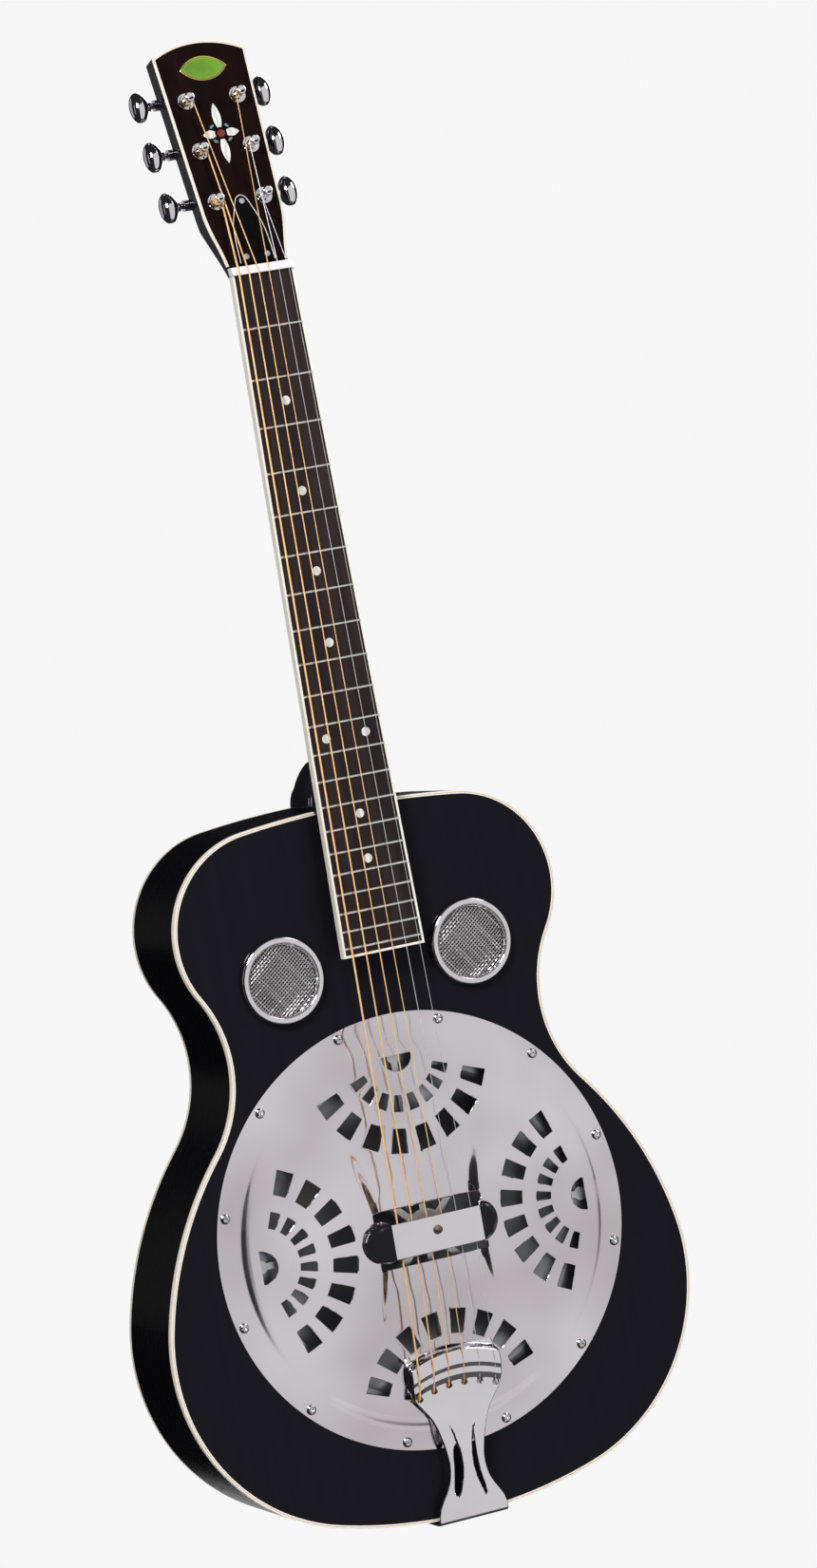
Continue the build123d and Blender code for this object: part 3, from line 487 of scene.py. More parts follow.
def lathe(profile, place, segments, closed=False):
    """Turn a list of (radius, height) about an axis; place(x, y, height) gives the point."""
    verts = []
    for radius, height in profile:
        verts += [place(radius * c, radius * s, height) for c, s in circle(segments)]
    faces = grid_faces(len(profile), segments, closed, True)
    if not closed:
        if profile[0][0] > 0.01:
            faces.append(tuple(range(segments)))
        if profile[-1][0] > 0.01:
            base = (len(profile) - 1) * segments
            faces.append(tuple(base + k for k in reversed(range(segments))))
    return verts, faces


def tube(points, radius, sides):
    """A round tube along points, with closed ends."""
    points = [Vector(p) for p in points]
    verts = []
    side = None
    for i, p in enumerate(points):
        ahead = points[min(i + 1, len(points) - 1)]
        behind = points[max(i - 1, 0)]
        along = (ahead - behind).normalized()
        if side is None:
            side = Vector((1, 0, 0)) if abs(along.x) < 0.9 else Vector((0, 1, 0))
        side = (side - along * side.dot(along)).normalized()
        other = along.cross(side)
        verts += [p + (side * c + other * s) * radius for c, s in circle(sides)]
    return verts, grid_faces(len(points), sides, False, True) + end_caps(sides, len(verts))


def inside_polygon(points, polygon):
    """Which of the points lie inside a closed polygon."""
    x, y = points[:, 0], points[:, 1]
    result = np.zeros(len(points), bool)
    ring = np.asarray(polygon)
    following = np.roll(ring, -1, axis=0)
    for (ax, ay), (bx, by) in zip(ring, following):
        crosses = (ay > y) != (by > y)
        with np.errstate(divide="ignore", invalid="ignore"):
            at = (bx - ax) * (y - ay) / (by - ay) + ax
        result ^= crosses & (x < at)
    return result


def squared_gaps(points, targets):
    """Squared distance from each point to the nearest target."""
    return np.concatenate([np.min(np.sum((part[:, None] - targets[None]) ** 2, axis=2), axis=1)
                           for part in np.array_split(points, 40)])


def clear_holes(points, keep, holes):
    """Clear keep for the points that lie in a hole."""
    for hole in holes:
        low, high = np.min(hole, axis=0), np.max(hole, axis=0)
        near = np.nonzero(keep & np.all(points > low, axis=1) & np.all(points < high, axis=1))[0]
        keep[near[inside_polygon(points[near], hole)]] = False


def sheet_mesh(outline, holes, fill, spare):
    """Triangles of a flat region with holes.

    fill holds extra points inside it, which are left out within the squared distance spare of its edges.
    """
    points, edges = [], []
    for loop in [outline] + list(holes):
        start = len(points)
        points += [Vector((float(a), float(b))) for a, b in loop]
        edges += [(start + i, start + (i + 1) % len(loop)) for i in range(len(loop))]
    fill = np.asarray(fill, float).reshape(-1, 2)
    rim = np.array([tuple(p) for p in points])
    keep = inside_polygon(fill, outline) & (squared_gaps(fill, rim) > spare)
    clear_holes(fill, keep, holes)
    points += [Vector(p) for p in fill[keep]]
    verts, _, faces, _, _, _ = delaunay_2d_cdt(points, edges, [], 0, 1e-5)
    flat = np.array([tuple(v) for v in verts])
    faces = np.array([f for f in faces if len(f) == 3])
    middle = flat[faces].mean(axis=1)
    good = inside_polygon(middle, outline)
    clear_holes(middle, good, holes)
    faces = faces[good]
    used = np.unique(faces)
    renumber = -np.ones(len(flat), int)
    renumber[used] = np.arange(len(used))
    return flat[used], renumber[faces]


def shell_faces(count, faces):
    """Faces of a shell whose first count points are its outer side and the next count its inner side."""
    out = [tuple(int(i) for i in f) for f in faces]
    edges = {(f[i], f[(i + 1) % 3]) for f in out for i in range(3)}
    inner = [(f[0] + count, f[2] + count, f[1] + count) for f in out]
    walls = [(b, a, a + count, b + count) for a, b in edges if (b, a) not in edges]
    return out + inner + walls


def arc_points(cx, cy, radius, start, end, count):
    """Points on an arc, angles in degrees."""
    angles = [radians(a) for a in np.linspace(start, end, count)]
    return [(cx + radius * cos(a), cy + radius * sin(a)) for a in angles]


def subdivided(loop, step):
    """A closed polygon with its sides cut into pieces no longer than step."""
    out = []
    for (ax, ay), (bx, by) in zip(loop, loop[1:] + loop[:1]):
        pieces = max(1, int(np.ceil(hypot(bx - ax, by - ay) / step)))
        out += [(ax + (bx - ax) * i / pieces, ay + (by - ay) * i / pieces) for i in range(pieces)]
    return out


def rectangle(x, z, step):
    """Outline of a centred rectangle with these half sizes."""
    return subdivided([(-x, -z), (x, -z), (x, z), (-x, z)], step)


def smooth_step(value):
    value = np.clip(value, 0.0, 1.0)
    return value * value * (3 - 2 * value)


# ---- cover plate
DOME_PROFILE = [
    (0, 16.1), (24, 16.1), (43, 15.3), (52, 13.9), (61, 12.5), (80, 10.2), (100, 8.1), (112, 7.0),
    (118, 6.3), (121, 5.8), (124, 5.1), (127, 4.1), (130, 3.0), (133, 2.1), (136, 1.6), (139, 1.3),
    (146, 1.15),
]
# The string channel lies this far under the dome, between walls with these feet and tops. Distances are from
# the cover's centre, upwards and then downwards.
CHANNEL_UP = [(0, 4.4), (22, 4.4), (35, 4.3), (53, 2.75), (70, 1.0), (84, 0.0), (150, 0.0)]
FOOT_UP = [(0, 32.5), (19.2, 32.5), (27, 33.3), (35, 34.8), (53, 39.6), (70, 45.6), (84, 50.4), (150, 70.0)]
TOP_UP = [(0, 39.3), (19.2, 39.3), (27, 41.2), (35, 43.2), (53, 47.6), (70, 50.4), (84, 51.6), (150, 71.0)]
CHANNEL_DOWN = [(0, 4.4), (15, 4.4), (19.2, 3.4), (35, 2.6), (50, 1.1), (60, 0.2), (66, 0.0), (150, 0.0)]
FOOT_DOWN = [(0, 32.5), (19.2, 33.4), (35, 36.2), (50, 40.0), (60, 42.5), (66, 43.6), (150, 60.0)]
TOP_DOWN = [(0, 39.3), (19.2, 39.3), (35, 41.6), (50, 43.4), (60, 44.2), (66, 44.8), (150, 61.0)]
COVER_SHEET = 1.0
FAN_MOUTH_R = 10.9
FAN_ROWS = [(26.5, 37.7), (48.7, 65.3)]     # inner and outer radius of each row of slots
FAN_SLOTS = 8
FAN_SLOT_HALF = 5.2                         # half width of a slot, in degrees
COVER_SCREWS = 12
SCREW_R = 3.5
SCREW_RISE = 2.0
SCREW_CUT_DEPTH = 0.7
SCREW_CUT_WIDTH = 0.9
PUNCH_BEVEL = 0.28
HOLE_RING = 0.62                            # distance of the ring of points round every hole
ON_EDGE = 0.01                              # squared distance that counts as on an edge


def by_side(z, up, down):
    """Interpolate one table above the cover's centre and another below it."""
    far = np.abs(z)
    return np.where(np.asarray(z) >= 0, np.interp(far, *zip(*up)), np.interp(far, *zip(*down)))


def cover_height(x, z):
    """Height of the cover's outer face at (x, z) from its centre."""
    dome = np.interp(np.hypot(x, z), *zip(*DOME_PROFILE))
    foot = by_side(z, FOOT_UP, FOOT_DOWN)
    top = by_side(z, TOP_UP, TOP_DOWN)
    share = np.clip((np.abs(x) - foot) / (top - foot), 0, 1)
    rise = 0.75 * share + 0.25 * smooth_step(share)
    return dome - by_side(z, CHANNEL_UP, CHANNEL_DOWN) * (1 - rise)


def fan_holes():
    """Outlines of the punched openings of the four fans, about the cover's centre."""
    holes = []
    for quarter in range(4):
        turn = radians(-90 * quarter)

        def placed(points):
            out = []
            for x, y in points:
                y += FAN_FOCUS_R
                out.append((x * cos(turn) - y * sin(turn), x * sin(turn) + y * cos(turn)))
            return out

        holes.append(placed(arc_points(0, 0, FAN_MOUTH_R, 180, 360, 17)))
        for n in range(FAN_SLOTS):
            angle = (n - (FAN_SLOTS - 1) / 2) * FAN_STEP
            for inner, outer in FAN_ROWS:
                corners = []
                for radius, side in [(inner, -1), (outer, -1), (outer, 1), (inner, 1)]:
                    bearing = radians(angle + side * FAN_SLOT_HALF)
                    corners.append((radius * sin(bearing), -radius * cos(bearing)))
                holes.append(placed(subdivided(corners, 2.0)))
    return holes


def grown(loop, distance):
    """A closed polygon pushed outwards along its corners' normals (counterclockwise loops grow)."""
    ring = np.asarray(loop, float)
    ahead = np.roll(ring, -1, axis=0) - ring
    behind = ring - np.roll(ring, 1, axis=0)
    ahead /= np.linalg.norm(ahead, axis=1)[:, None]
    behind /= np.linalg.norm(behind, axis=1)[:, None]
    normal = np.stack([(ahead + behind)[:, 1], -(ahead + behind)[:, 0]], axis=1)
    normal /= np.linalg.norm(normal, axis=1)[:, None]
    area = np.sum(ring[:, 0] * np.roll(ring[:, 1], -1) - np.roll(ring[:, 0], -1) * ring[:, 1])
    lean = np.clip(np.sum(normal * np.stack([ahead[:, 1], -ahead[:, 0]], axis=1), axis=1), 0.6, 1)
    return ring + normal * (distance * np.sign(area) / lean)[:, None]


def make_cover():
    outline = arc_points(0, 0, COVER_R, 0, 360, 289)[:-1]
    holes = [rectangle(SLOT_HALF_X, SLOT_HALF_Z, 1.2)] + fan_holes()
    fill = []
    radii = list(np.arange(22, 112, 2.0)) + list(np.arange(112, 140, 1.0)) + [142, 144.5]
    for i, r in enumerate(radii):
        count = int(2 * pi * r / 2.0)
        turns = 2 * pi * (np.arange(count) + 0.5 * (i % 2)) / count
        fill.append(np.stack([r * np.cos(turns), r * np.sin(turns)], axis=1))
    # Extra points across the walls beside the string channel, and a ring of points round every hole.
    up, down = np.arange(19.8, 86, 0.8), np.arange(-68, -19.6, 0.8)
    z = np.concatenate([up, down])
    foot, top = by_side(z, FOOT_UP, FOOT_DOWN), by_side(z, TOP_UP, TOP_DOWN)
    for part in (-0.12, -0.04, 0.0, 0.06, 0.2, 0.35, 0.5, 0.65, 0.8, 0.94, 1.0, 1.04, 1.12):
        x = foot + (top - foot) * part
        fill += [np.stack([side * x, z], axis=1) for side in (-1, 1)]
    rims = np.vstack([grown(hole, HOLE_RING) for hole in holes])
    fill = np.vstack(fill)
    gap = squared_gaps(fill, rims)
    flat, faces = sheet_mesh(outline, holes, np.vstack([fill[gap > 0.3], rims]), spare=0.2)
    heights = cover_height(flat[:, 0], flat[:, 1])
    edge = np.vstack([np.asarray(hole) for hole in holes] + [np.asarray(outline)])
    near = squared_gaps(flat, edge)
    top_face = np.where(near < ON_EDGE, heights - PUNCH_BEVEL, heights)
    verts = [front(a, CONE_Z + b, h) for (a, b), h in zip(flat, top_face)]
    verts += [front(a, CONE_Z + b, max(h - COVER_SHEET, 0.05)) for (a, b), h in zip(flat, heights)]
    add_piece("cover_plate_shell", verts, shell_faces(len(flat), faces), "nickel",
              replaces=("cover_plate",), sharp=38)


def slotted_head(place, radius, height, slot_turn):
    """Domed screw head with a cut slot, as a stack of rings with the slot pressed in."""
    rings = [0.0, 0.25, 0.5, 0.7, 0.84, 0.94, 1.0]
    segments = 40
    verts = []
    for share in rings:
        for c, s in circle(segments):
            x, y = radius * share * c, radius * share * s
            h = height * sqrt(max(0.0, 1 - share ** 2.2))
            across = abs(-x * sin(slot_turn) + y * cos(slot_turn))
            if across < SCREW_CUT_WIDTH / 2:
                h = min(h, max(height - SCREW_CUT_DEPTH, 0.0))
            verts.append(place(x, y, h))
    verts += [place(radius * c, radius * s, -0.2) for c, s in circle(segments)]
    faces = grid_faces(len(rings) + 1, segments, False, True)
    return verts, faces + end_caps(segments, len(verts))[1:]


def make_cover_screws():
    build = Build()
    for n in range(COVER_SCREWS):
        angle = radians(15 + 360 / COVER_SCREWS * n)
        x = COVER_SCREW_R * sin(angle)
        z = CONE_Z + COVER_SCREW_R * cos(angle)
        build.add(*slotted_head(placer(front, x, z, 1.2), SCREW_R, SCREW_RISE, 0.7 + 1.9 * n))
    add_piece("cover_screw_heads", build.verts, build.faces, "steel",
              replaces=("cover_screws",), sharp=25)


# ---- palm rest
REST_HALF_X = 32.0
REST_HALF_Z = 11.8
REST_TOP = 27.8
REST_SHEET = 1.2
REST_FOOT_X = 35.5
REST_FOOT_R = 14.8
REST_FOOT_H = 12.4
REST_HOLE_R = 3.0
REST_BEVEL = 0.45


def rest_point(side, s, across, inset):
    """Point on a foot of the rest: s runs 0..1 from the flat to the cover, across runs -1..1."""
    reach = s * (1.6 - 0.6 * s)
    fall = 1 - 0.75 * s - 0.25 * s ** 3
    bearing = across * pi / 2
    foot_x = REST_FOOT_X + (REST_FOOT_R - inset) * cos(bearing)
    foot_z = (REST_FOOT_R - inset) * sin(bearing)
    start_z = REST_HALF_Z * across
    x = REST_HALF_X + (foot_x - REST_HALF_X) * reach
    z = start_z + (foot_z - start_z) * reach
    return (side * x, z, REST_FOOT_H + (REST_TOP - inset - REST_FOOT_H) * fall)


def make_palm_rest():
    """Flat bridge over the saddle whose ends are half-domed feet on the cover."""
    build = Build()
    ring = arc_points(0, SADDLE_Z - CONE_Z, REST_HOLE_R, 0, 360, 33)[:-1]
    rim = arc_points(0, SADDLE_Z - CONE_Z, REST_HOLE_R + 0.8, 0, 360, 33)[:-1]
    x, z = REST_HALF_X, REST_HALF_Z
    outline, inner = rectangle(x, z, 1.0), rectangle(x - 0.6, z - 0.6, 1.0)
    fill = [(a, b) for a in np.arange(-30, 31, 2.5) for b in np.arange(-10, 10.1, 2.5)
            if hypot(a, b - 2) > 4.6]
    flat, faces = sheet_mesh(outline, [ring], fill + inner + rim, spare=0.15)
    outer, under = [], []
    for a, b in flat:
        drop = 0.0
        if abs(abs(b) - z) < 0.01 or hypot(a, b - 2) < REST_HOLE_R + 0.01:
            drop = REST_BEVEL
        outer.append(front(a, CONE_Z + b, REST_TOP - drop))
        under.append(front(a, CONE_Z + b, REST_TOP - REST_SHEET))
    build.add(outer + under, shell_faces(len(flat), faces))
    columns = [-1.0, -0.97] + list(np.linspace(-0.9, 0.9, 25)) + [0.97, 1.0]
    rows = np.linspace(0, 1, 22)
    for side in (-1, 1):
        verts = []
        for inset in (0.0, REST_SHEET):
            for along in rows:
                for across in columns:
                    a, b, h = rest_point(side, along, across, inset)
                    drop = 0.4 if abs(across) == 1 and inset == 0 else 0.0
                    verts.append(front(a, CONE_Z + b * (1 - drop * 0.02), h - drop))
        n_rows, n_cols = len(rows), len(columns)
        total = n_rows * n_cols
        outer_faces = grid_faces(n_rows, n_cols)
        faces = [f[::side] for f in outer_faces]
        faces += [tuple(i + total for i in f[::-side]) for f in outer_faces]
        loop = list(range(n_cols)) + [i * n_cols + n_cols - 1 for i in range(1, n_rows)]
        loop += [(n_rows - 1) * n_cols + j for j in range(n_cols - 2, -1, -1)]
        loop += [i * n_cols for i in range(n_rows - 2, 0, -1)]
        faces += [(a, b, b + total, a + total)[::-side] for a, b in zip(loop, loop[1:] + loop[:1])]
        build.add(verts, faces)
    add_piece("palm_rest_strap", build.verts, build.faces, "chrome",
              replaces=("palm_rest",), sharp=40)


# ---- tailpiece
TAIL_SHEET = 1.3
TAIL_BEVEL = 0.35
TAIL_HOLE_R = 2.0
TAIL_PITCH = 11.1
TAIL_HOLE_Z = 97.2
TAIL_ARC = 5.0                              # how far the outer holes lie below that
OUTER_STRING_X = 27.75
END_PIN_HOLE_R = 2.7
TAIL_EDGE_RINGS = [0.25, 0.6, 1.1, 1.8]     # distances from the edge where it rolls over
TAIL_HALF_WIDTHS = [
    (121.5, 32.4), (118, 33.3), (98, 33.3), (93, 31.8), (89, 29.8), (85, 26.8), (80, 23.2), (76, 20.7),
    (70, 18.2), (66, 17.0), (60, 15.4), (56, 14.5), (50, 13.5), (45, 13.0), (40, 13.2), (35, 14.0),
    (31, 15.2), (26, 17.6), (21, 20.8), (16, 23.6), (11, 25.0), (8, 25.3),
]
# Height along the strap, after the row of holes has been straightened.
HUMP = [
    (-80, 6.0), (8, 6.6), (30, 8.6), (56, 11.0), (75, 13.0), (90, 14.3), (99.0, 14.6), (99.8, 14.9),
    (101.5, 15.9), (103.4, 17.0), (104.2, 17.25), (105.0, 17.3), (106.6, 17.3), (107.2, 17.4),
    (108.4, 17.9), (110.2, 18.8), (111.0, 19.1), (111.8, 19.2), (115.0, 19.3), (118.6, 19.3), (119.6, 19.0),
    (120.4, 18.3), (121.1, 17.0), (121.7, 14.8), (122.3, 11.5), (127, 9.5),
]
RIB_HALF = [
    (-80, 0), (10.5, 0), (11.2, 4.5), (12.5, 7.5), (15, 9.8), (19, 10.4), (23, 9.4), (28, 7.6), (34, 6.0),
    (42, 5.0), (50, 5.0), (58, 5.9), (66, 7.8), (74, 10.8), (82, 15.0), (90, 22.0), (96, 34.0), (130, 40.0),
]
# Inner and outer edges of the slots beside the rib: short and wide at the left, long and thin at the right.
SLOTS = {
    -1: ([(22.0, 9.8), (24, 8.0), (28, 6.9), (34, 5.0), (42, 3.9), (50, 4.2), (54, 5.0), (56.5, 6.4)],
         [(22.0, 10.4), (24, 11.5), (28, 11.5), (34, 10.6), (42, 9.6), (50, 9.2), (54, 8.7), (56.5, 7.6)]),
    1: ([(19.0, 10.4), (21.0, 9.5), (27, 7.2), (32, 5.5), (40, 4.1), (48, 4.0), (56, 4.6), (62, 5.5),
         (67, 6.8)],
        [(19.0, 10.8), (21.0, 11.3), (27, 10.4), (32, 9.2), (40, 8.0), (48, 7.4), (56, 7.3), (62, 7.6),
         (67, 7.8)]),
}
RIB_RISE = 1.3
BEND_Z = 8.0
BEND_R = 3.4
BEND_LONG = BEND_R * pi / 2


def hole_drop(p):
    """How far the hole of string position p lies below the middle of the row."""
    return TAIL_ARC * (p / STRING_POSITIONS[-1]) ** 2


def tail_height(x, z):
    """Outer face of the tailpiece in front of the top plate."""
    straight = z + TAIL_ARC * (x / OUTER_STRING_X) ** 2 * smooth_step((z - 80) / 15)
    level = np.interp(straight, *zip(*HUMP))
    rib = np.interp(z, *zip(*RIB_HALF))
    raised = smooth_step((rib - np.abs(x)) / 3.0 + 0.5)
    raised = raised * smooth_step((z - 6) / 24) * (1 - smooth_step((z - 64) / 24))
    edge = np.interp(z, *zip(*reversed(TAIL_HALF_WIDTHS))) - np.abs(x)
    roll = np.interp(edge, [0.0] + TAIL_EDGE_RINGS, [1.0, 0.45, 0.16, 0.03, 0.0])
    deep = 0.7 + 6.5 * smooth_step((z - 92) / 6)
    return level + RIB_RISE * raised - roll * deep


def tail_place(x, v, inset):
    """Point of the strap at distance v along it: z up the front, then round the bend and under the body."""
    if v >= BEND_Z:
        return front(x, v, float(tail_height(x, v)) - inset)
    hub_h = float(tail_height(x, BEND_Z)) - BEND_R
    turn = min((BEND_Z - v) / BEND_R, pi / 2)
    further = max(BEND_Z - BEND_LONG - v, 0.0)
    radius = BEND_R - inset
    return front(x, BEND_Z - radius * sin(turn), hub_h + radius * cos(turn) - further)


def make_tailpiece():
    right = [(w, z) for z, w in TAIL_HALF_WIDTHS]
    right += [(25.3, BEND_Z - BEND_LONG), (25.3, -28), (13, -66), (11, -76), (6, -80)]
    outline = subdivided(right + [(-w, z) for w, z in reversed(right)], 0.9)
    holes = []
    for p in STRING_POSITIONS:
        holes.append(arc_points(p * TAIL_PITCH, TAIL_HOLE_Z - hole_drop(p), TAIL_HOLE_R, 0, 360, 21)[:-1])
    for side in (-1, 1):
        inner, outer = SLOTS[side]
        slot = [(side * x, z) for z, x in inner] + [(side * x, z) for z, x in reversed(outer)]
        holes.append(subdivided(slot, 1.0))
    holes.append(arc_points(0, BEND_Z - BEND_LONG - 43.0, END_PIN_HOLE_R, 0, 360, 17)[:-1])
    rims = [grown(hole, 0.5) for hole in holes] + [grown(outline, -d) for d in TAIL_EDGE_RINGS]
    rims = np.vstack(rims)
    levels = list(np.arange(9, 100, 1.3)) + list(np.arange(100, 122, 0.55))
    fill = [(x, v) for v in levels for x in np.arange(-33, 33.1, 1.3)]
    fill += [(x, v) for v in np.arange(BEND_Z - BEND_LONG, BEND_Z, 0.6) for x in np.arange(-24, 24.1, 3)]
    fill += [(x, v) for v in np.arange(-76, 0, 6) for x in np.arange(-22, 22.1, 4)]
    fill = np.array(fill, float)
    gap = squared_gaps(fill, rims)
    flat, faces = sheet_mesh(outline, holes, np.vstack([fill[gap > 0.1], rims]), spare=0.02)
    edge = np.vstack([np.asarray(hole) for hole in holes])
    near = squared_gaps(flat, edge)
    verts = [tail_place(x, v, TAIL_BEVEL if d < ON_EDGE else 0.0) for (x, v), d in zip(flat, near)]
    verts += [tail_place(x, v, TAIL_SHEET) for x, v in flat]
    add_piece("tailpiece_strap", verts, shell_faces(len(flat), faces), "chrome",
              replaces=("tailpiece",), sharp=50)


# ---- strings
NUT_PITCH = 7.1
SADDLE_PITCH = 10.8
STRING_AT_SADDLE = 25.0
STRING_AT_NUT = 11.6
BALL_R = 1.9
BALL_LONG = 2.0
CORNER_CUTS = [0.8, 3.0, 4.0, 2.0]          # at the hole, crest, saddle and nut


def rounded_path(points, radii, steps=7):
    """Polyline with each inner corner replaced by a short curve."""
    out = [points[0]]
    for before, corner, after, radius in zip(points, points[1:], points[2:], radii):
        a = corner + (before - corner).normalized() * radius
        b = corner + (after - corner).normalized() * radius
        for i in range(steps + 1):
            s = i / steps
            out.append(a * (1 - s) ** 2 + corner * 2 * s * (1 - s) + b * s ** 2)
    out.append(points[-1])
    return out


def string_route(k):
    """Route of a string: ball end, hole, crest of the tailpiece, saddle, nut and the edge of its winding."""
    p = STRING_POSITIONS[k]
    radius = STRING_DIAMETERS[k] / 2
    x, s = POSTS[k]
    side = 1 if x > 0 else -1
    drop = hole_drop(p)
    tail_x = p * TAIL_PITCH
    end = head(x - side * (POST_WAIST_R + radius), s - 0.1, WINDING_LOW[k] + radius)
    return [
        front(tail_x, 96.4 - drop, 11.0),
        front(tail_x, 97.6 - drop, 14.6),
        front(tail_x, 113.6 - drop, 19.55 + radius),
        front(p * SADDLE_PITCH, SADDLE_Z, STRING_AT_SADDLE + radius),
        front(p * NUT_PITCH, NUT_Z + 0.8, STRING_AT_NUT + radius),
        end,
    ]


def make_strings():
    thin, wound = Build(), Build()
    for k, d in enumerate(STRING_DIAMETERS):
        path = rounded_path(string_route(k), [cut * MM for cut in CORNER_CUTS])
        target = wound if k < 4 else thin
        target.add(*tube(path, d / 2 * MM, 10))
        along = (path[1] - path[0]).normalized()
        target.add(*tube([path[0] - along * BALL_LONG * MM, path[0]], BALL_R * MM, 16))
    add_piece("strings_wound_set", wound.verts, wound.faces, "bronze",
              replaces=("strings_wound",))
    add_piece("strings_plain_set", thin.verts, thin.faces, "plain_string",
              replaces=("strings_plain",))


# ---- screens
def make_screens():
    """Two domed wire meshes in turned rings, with a dark disc behind each as painted shade for the unlit
    inside of the body.
    """
    ring_profile = [
        (29.9, 0.0), (29.9, 0.9), (29.7, 2.2), (29.3, 3.5), (28.8, 4.5), (28.4, 5.1), (27.9, 5.45),
        (27.3, 5.6), (25.3, 5.6), (24.8, 5.4), (24.4, 4.8), (24.1, 4.0), (23.7, 3.3), (23.4, 3.0),
        (24.4, 2.8), (24.6, -4.0), (26.4, -4.0), (26.4, 0.0),
    ]
    rings, wires = Build(), Build()
    pitch, wire, reach, turn = 1.9, 0.28, 23.9, radians(38)
    for side in (-1, 1):
        place = placer(front, side * SCREEN_X, SCREEN_Z)
        rings.add(*lathe(ring_profile, place, 96, closed=True))
        count = int(reach / pitch)
        for n in range(-count, count + 1):
            offset = n * pitch
            half = sqrt(reach ** 2 - offset ** 2)
            steps = max(4, int(2 * half / (pitch / 2)))
            for direction in (0, 1):
                points = []
                for t in np.linspace(-half, half, steps + 1):
                    weave = 0.22 * cos(pi * (t / pitch + n)) * (1 if direction == 0 else -1)
                    a, b = (t, offset) if direction == 0 else (offset, t)
                    dome = 3.9 - 2.2 * (a * a + b * b) / reach ** 2
                    x = a * cos(turn) - b * sin(turn)
                    z = a * sin(turn) + b * cos(turn)
                    points.append(place(x, z, dome + weave))
                wires.add(*tube(points, wire * MM, 5))
        # Painted shade: a dark disc behind the mesh stands in for the shade inside the body.
        shade_disc = [(0.001, 0.6), (12, 0.5), (24.5, 0.3), (24.5, -0.2), (0.001, -0.2)]
        wires.add(*lathe(shade_disc, place, 64), slot=1)
    add_piece("screen_ring_pair", rings.verts, rings.faces, "chrome",
              replaces=("screen_rings",))
    add_piece("screen_wires", wires.verts, wires.faces, ["screen", "dark_inside"],
              replaces=("screen_meshes",), face_slots=wires.slots)


# ---- body trim
def outline_points(inset, spacing=3.0):
    """Points round the body outline moved inwards, the same number for every inset."""
    right = []
    x, z, heading = 0.0, BODY_BOTTOM, 0.0
    for radius, turn in BODY_ARCS:
        sign = 1 if turn > 0 else -1
        cx = x - sign * radius * sin(radians(heading))
        cz = z + sign * radius * cos(radians(heading))
        drawn = radius - sign * inset
        steps = max(2, int(radius * abs(radians(turn)) / spacing))
        for i in range(steps):
            angle = radians(heading + turn * i / steps)
            right.append((cx + sign * drawn * sin(angle), cz - sign * drawn * cos(angle)))
        heading += turn
        x = cx + sign * radius * sin(radians(heading))
        z = cz - sign * radius * cos(radians(heading))
    radius = x / sin(radians(heading))
    cz = z + radius * cos(radians(heading))
    for i in range(25):
        angle = radians(heading + (180 - heading) * i / 24)
        right.append(((radius - inset) * sin(angle), cz - (radius - inset) * cos(angle)))
    left = [(-a, b) for a, b in reversed(right[1:-1])]
    return right + left


BINDING_SKIN = 0.04


def make_binding(name, node, profile, stripes):
    """Sweep a closed (inset, y) profile round the body; stripes tells which of its sides are amber."""
    verts = []
    for inset, y in profile:
        verts += [Vector((x, y, z)) * MM for x, z in outline_points(max(inset, BINDING_SKIN))]
    columns = len(verts) // len(profile)
    faces = [tuple(reversed(f)) for f in grid_faces(len(profile), columns, True, True)]
    slots = [stripes[i // columns] for i in range(len(faces))]
    add_piece(name, verts, faces, ["ivory", "amber_line"], replaces=(node,), sharp=50,
              face_slots=slots)


def make_bindings():
    """White strips with an amber line, round the top plate and round the back plate."""
    edge = [
        (0.0, -34.5), (0.0, -35.1), (0.0, -39.3), (0.1, -39.65), (0.35, -39.9), (0.7, -40.0), (1.0, -40.0),
        (1.35, -40.0), (RIM, -40.0), (RIM, -34.5),
    ]
    make_binding("front_binding_strip", "binding_front", edge, [1, 0, 0, 0, 0, 0, 1, 0, 0, 0])
    edge = [
        (0.0, 36.0), (RIM, 36.0), (RIM, 40.0), (0.7, 40.0), (0.35, 39.9), (0.1, 39.65), (0.0, 39.3),
        (0.0, 36.6),
    ]
    make_binding("back_binding_strip", "binding_back", edge, [0, 0, 0, 0, 0, 0, 0, 1])


# ---- headstock and tuning machines
HEAD_FLARE = [(21.3, -4.0), (21.6, 16.0), (27.6, 26.0), (28.5, 43.0)]
HEAD_CORNER = (33.0, 155.0)
HEAD_TOP = 163.0
HEAD_BINDING = 1.6
VENEER = 2.0
NUT_SIDE = 5.0
BADGE_S = 143.5
FLOWER_S = 97.0
TRUSS_COVER = [(12.5, 5.6), (12.0, 19.0), (10.6, 31.0), (7.8, 40.0), (4.4, 49.0), (2.5, 51.3), (0.0, 52.2)]
POST_PROFILE = [
    (0.001, -22.4), (3.0, -22.4), (3.0, 2.2), (2.9, 2.5), (2.45, 2.8), (2.3, 3.3), (2.3, 7.7), (2.45, 8.2),
    (2.9, 8.5), (3.2, 8.7), (3.3, 9.0), (3.3, 9.7), (3.2, 10.1), (2.9, 10.35), (2.4, 10.4), (1.6, 10.2),
    (0.8, 10.1), (0.001, 10.1),
]
POST_HOLE_N = 7.2
WHEEL_TEETH = 14
WHEEL_ROOT = 3.5
WHEEL_TIP = 5.2
# Share of a tooth's pitch, and radius.
WHEEL_TOOTH = [
    (0.0, WHEEL_ROOT), (0.3, WHEEL_ROOT), (0.42, WHEEL_TIP), (0.58, WHEEL_TIP), (0.7, WHEEL_ROOT),
]
WHEEL_HALF = 1.4
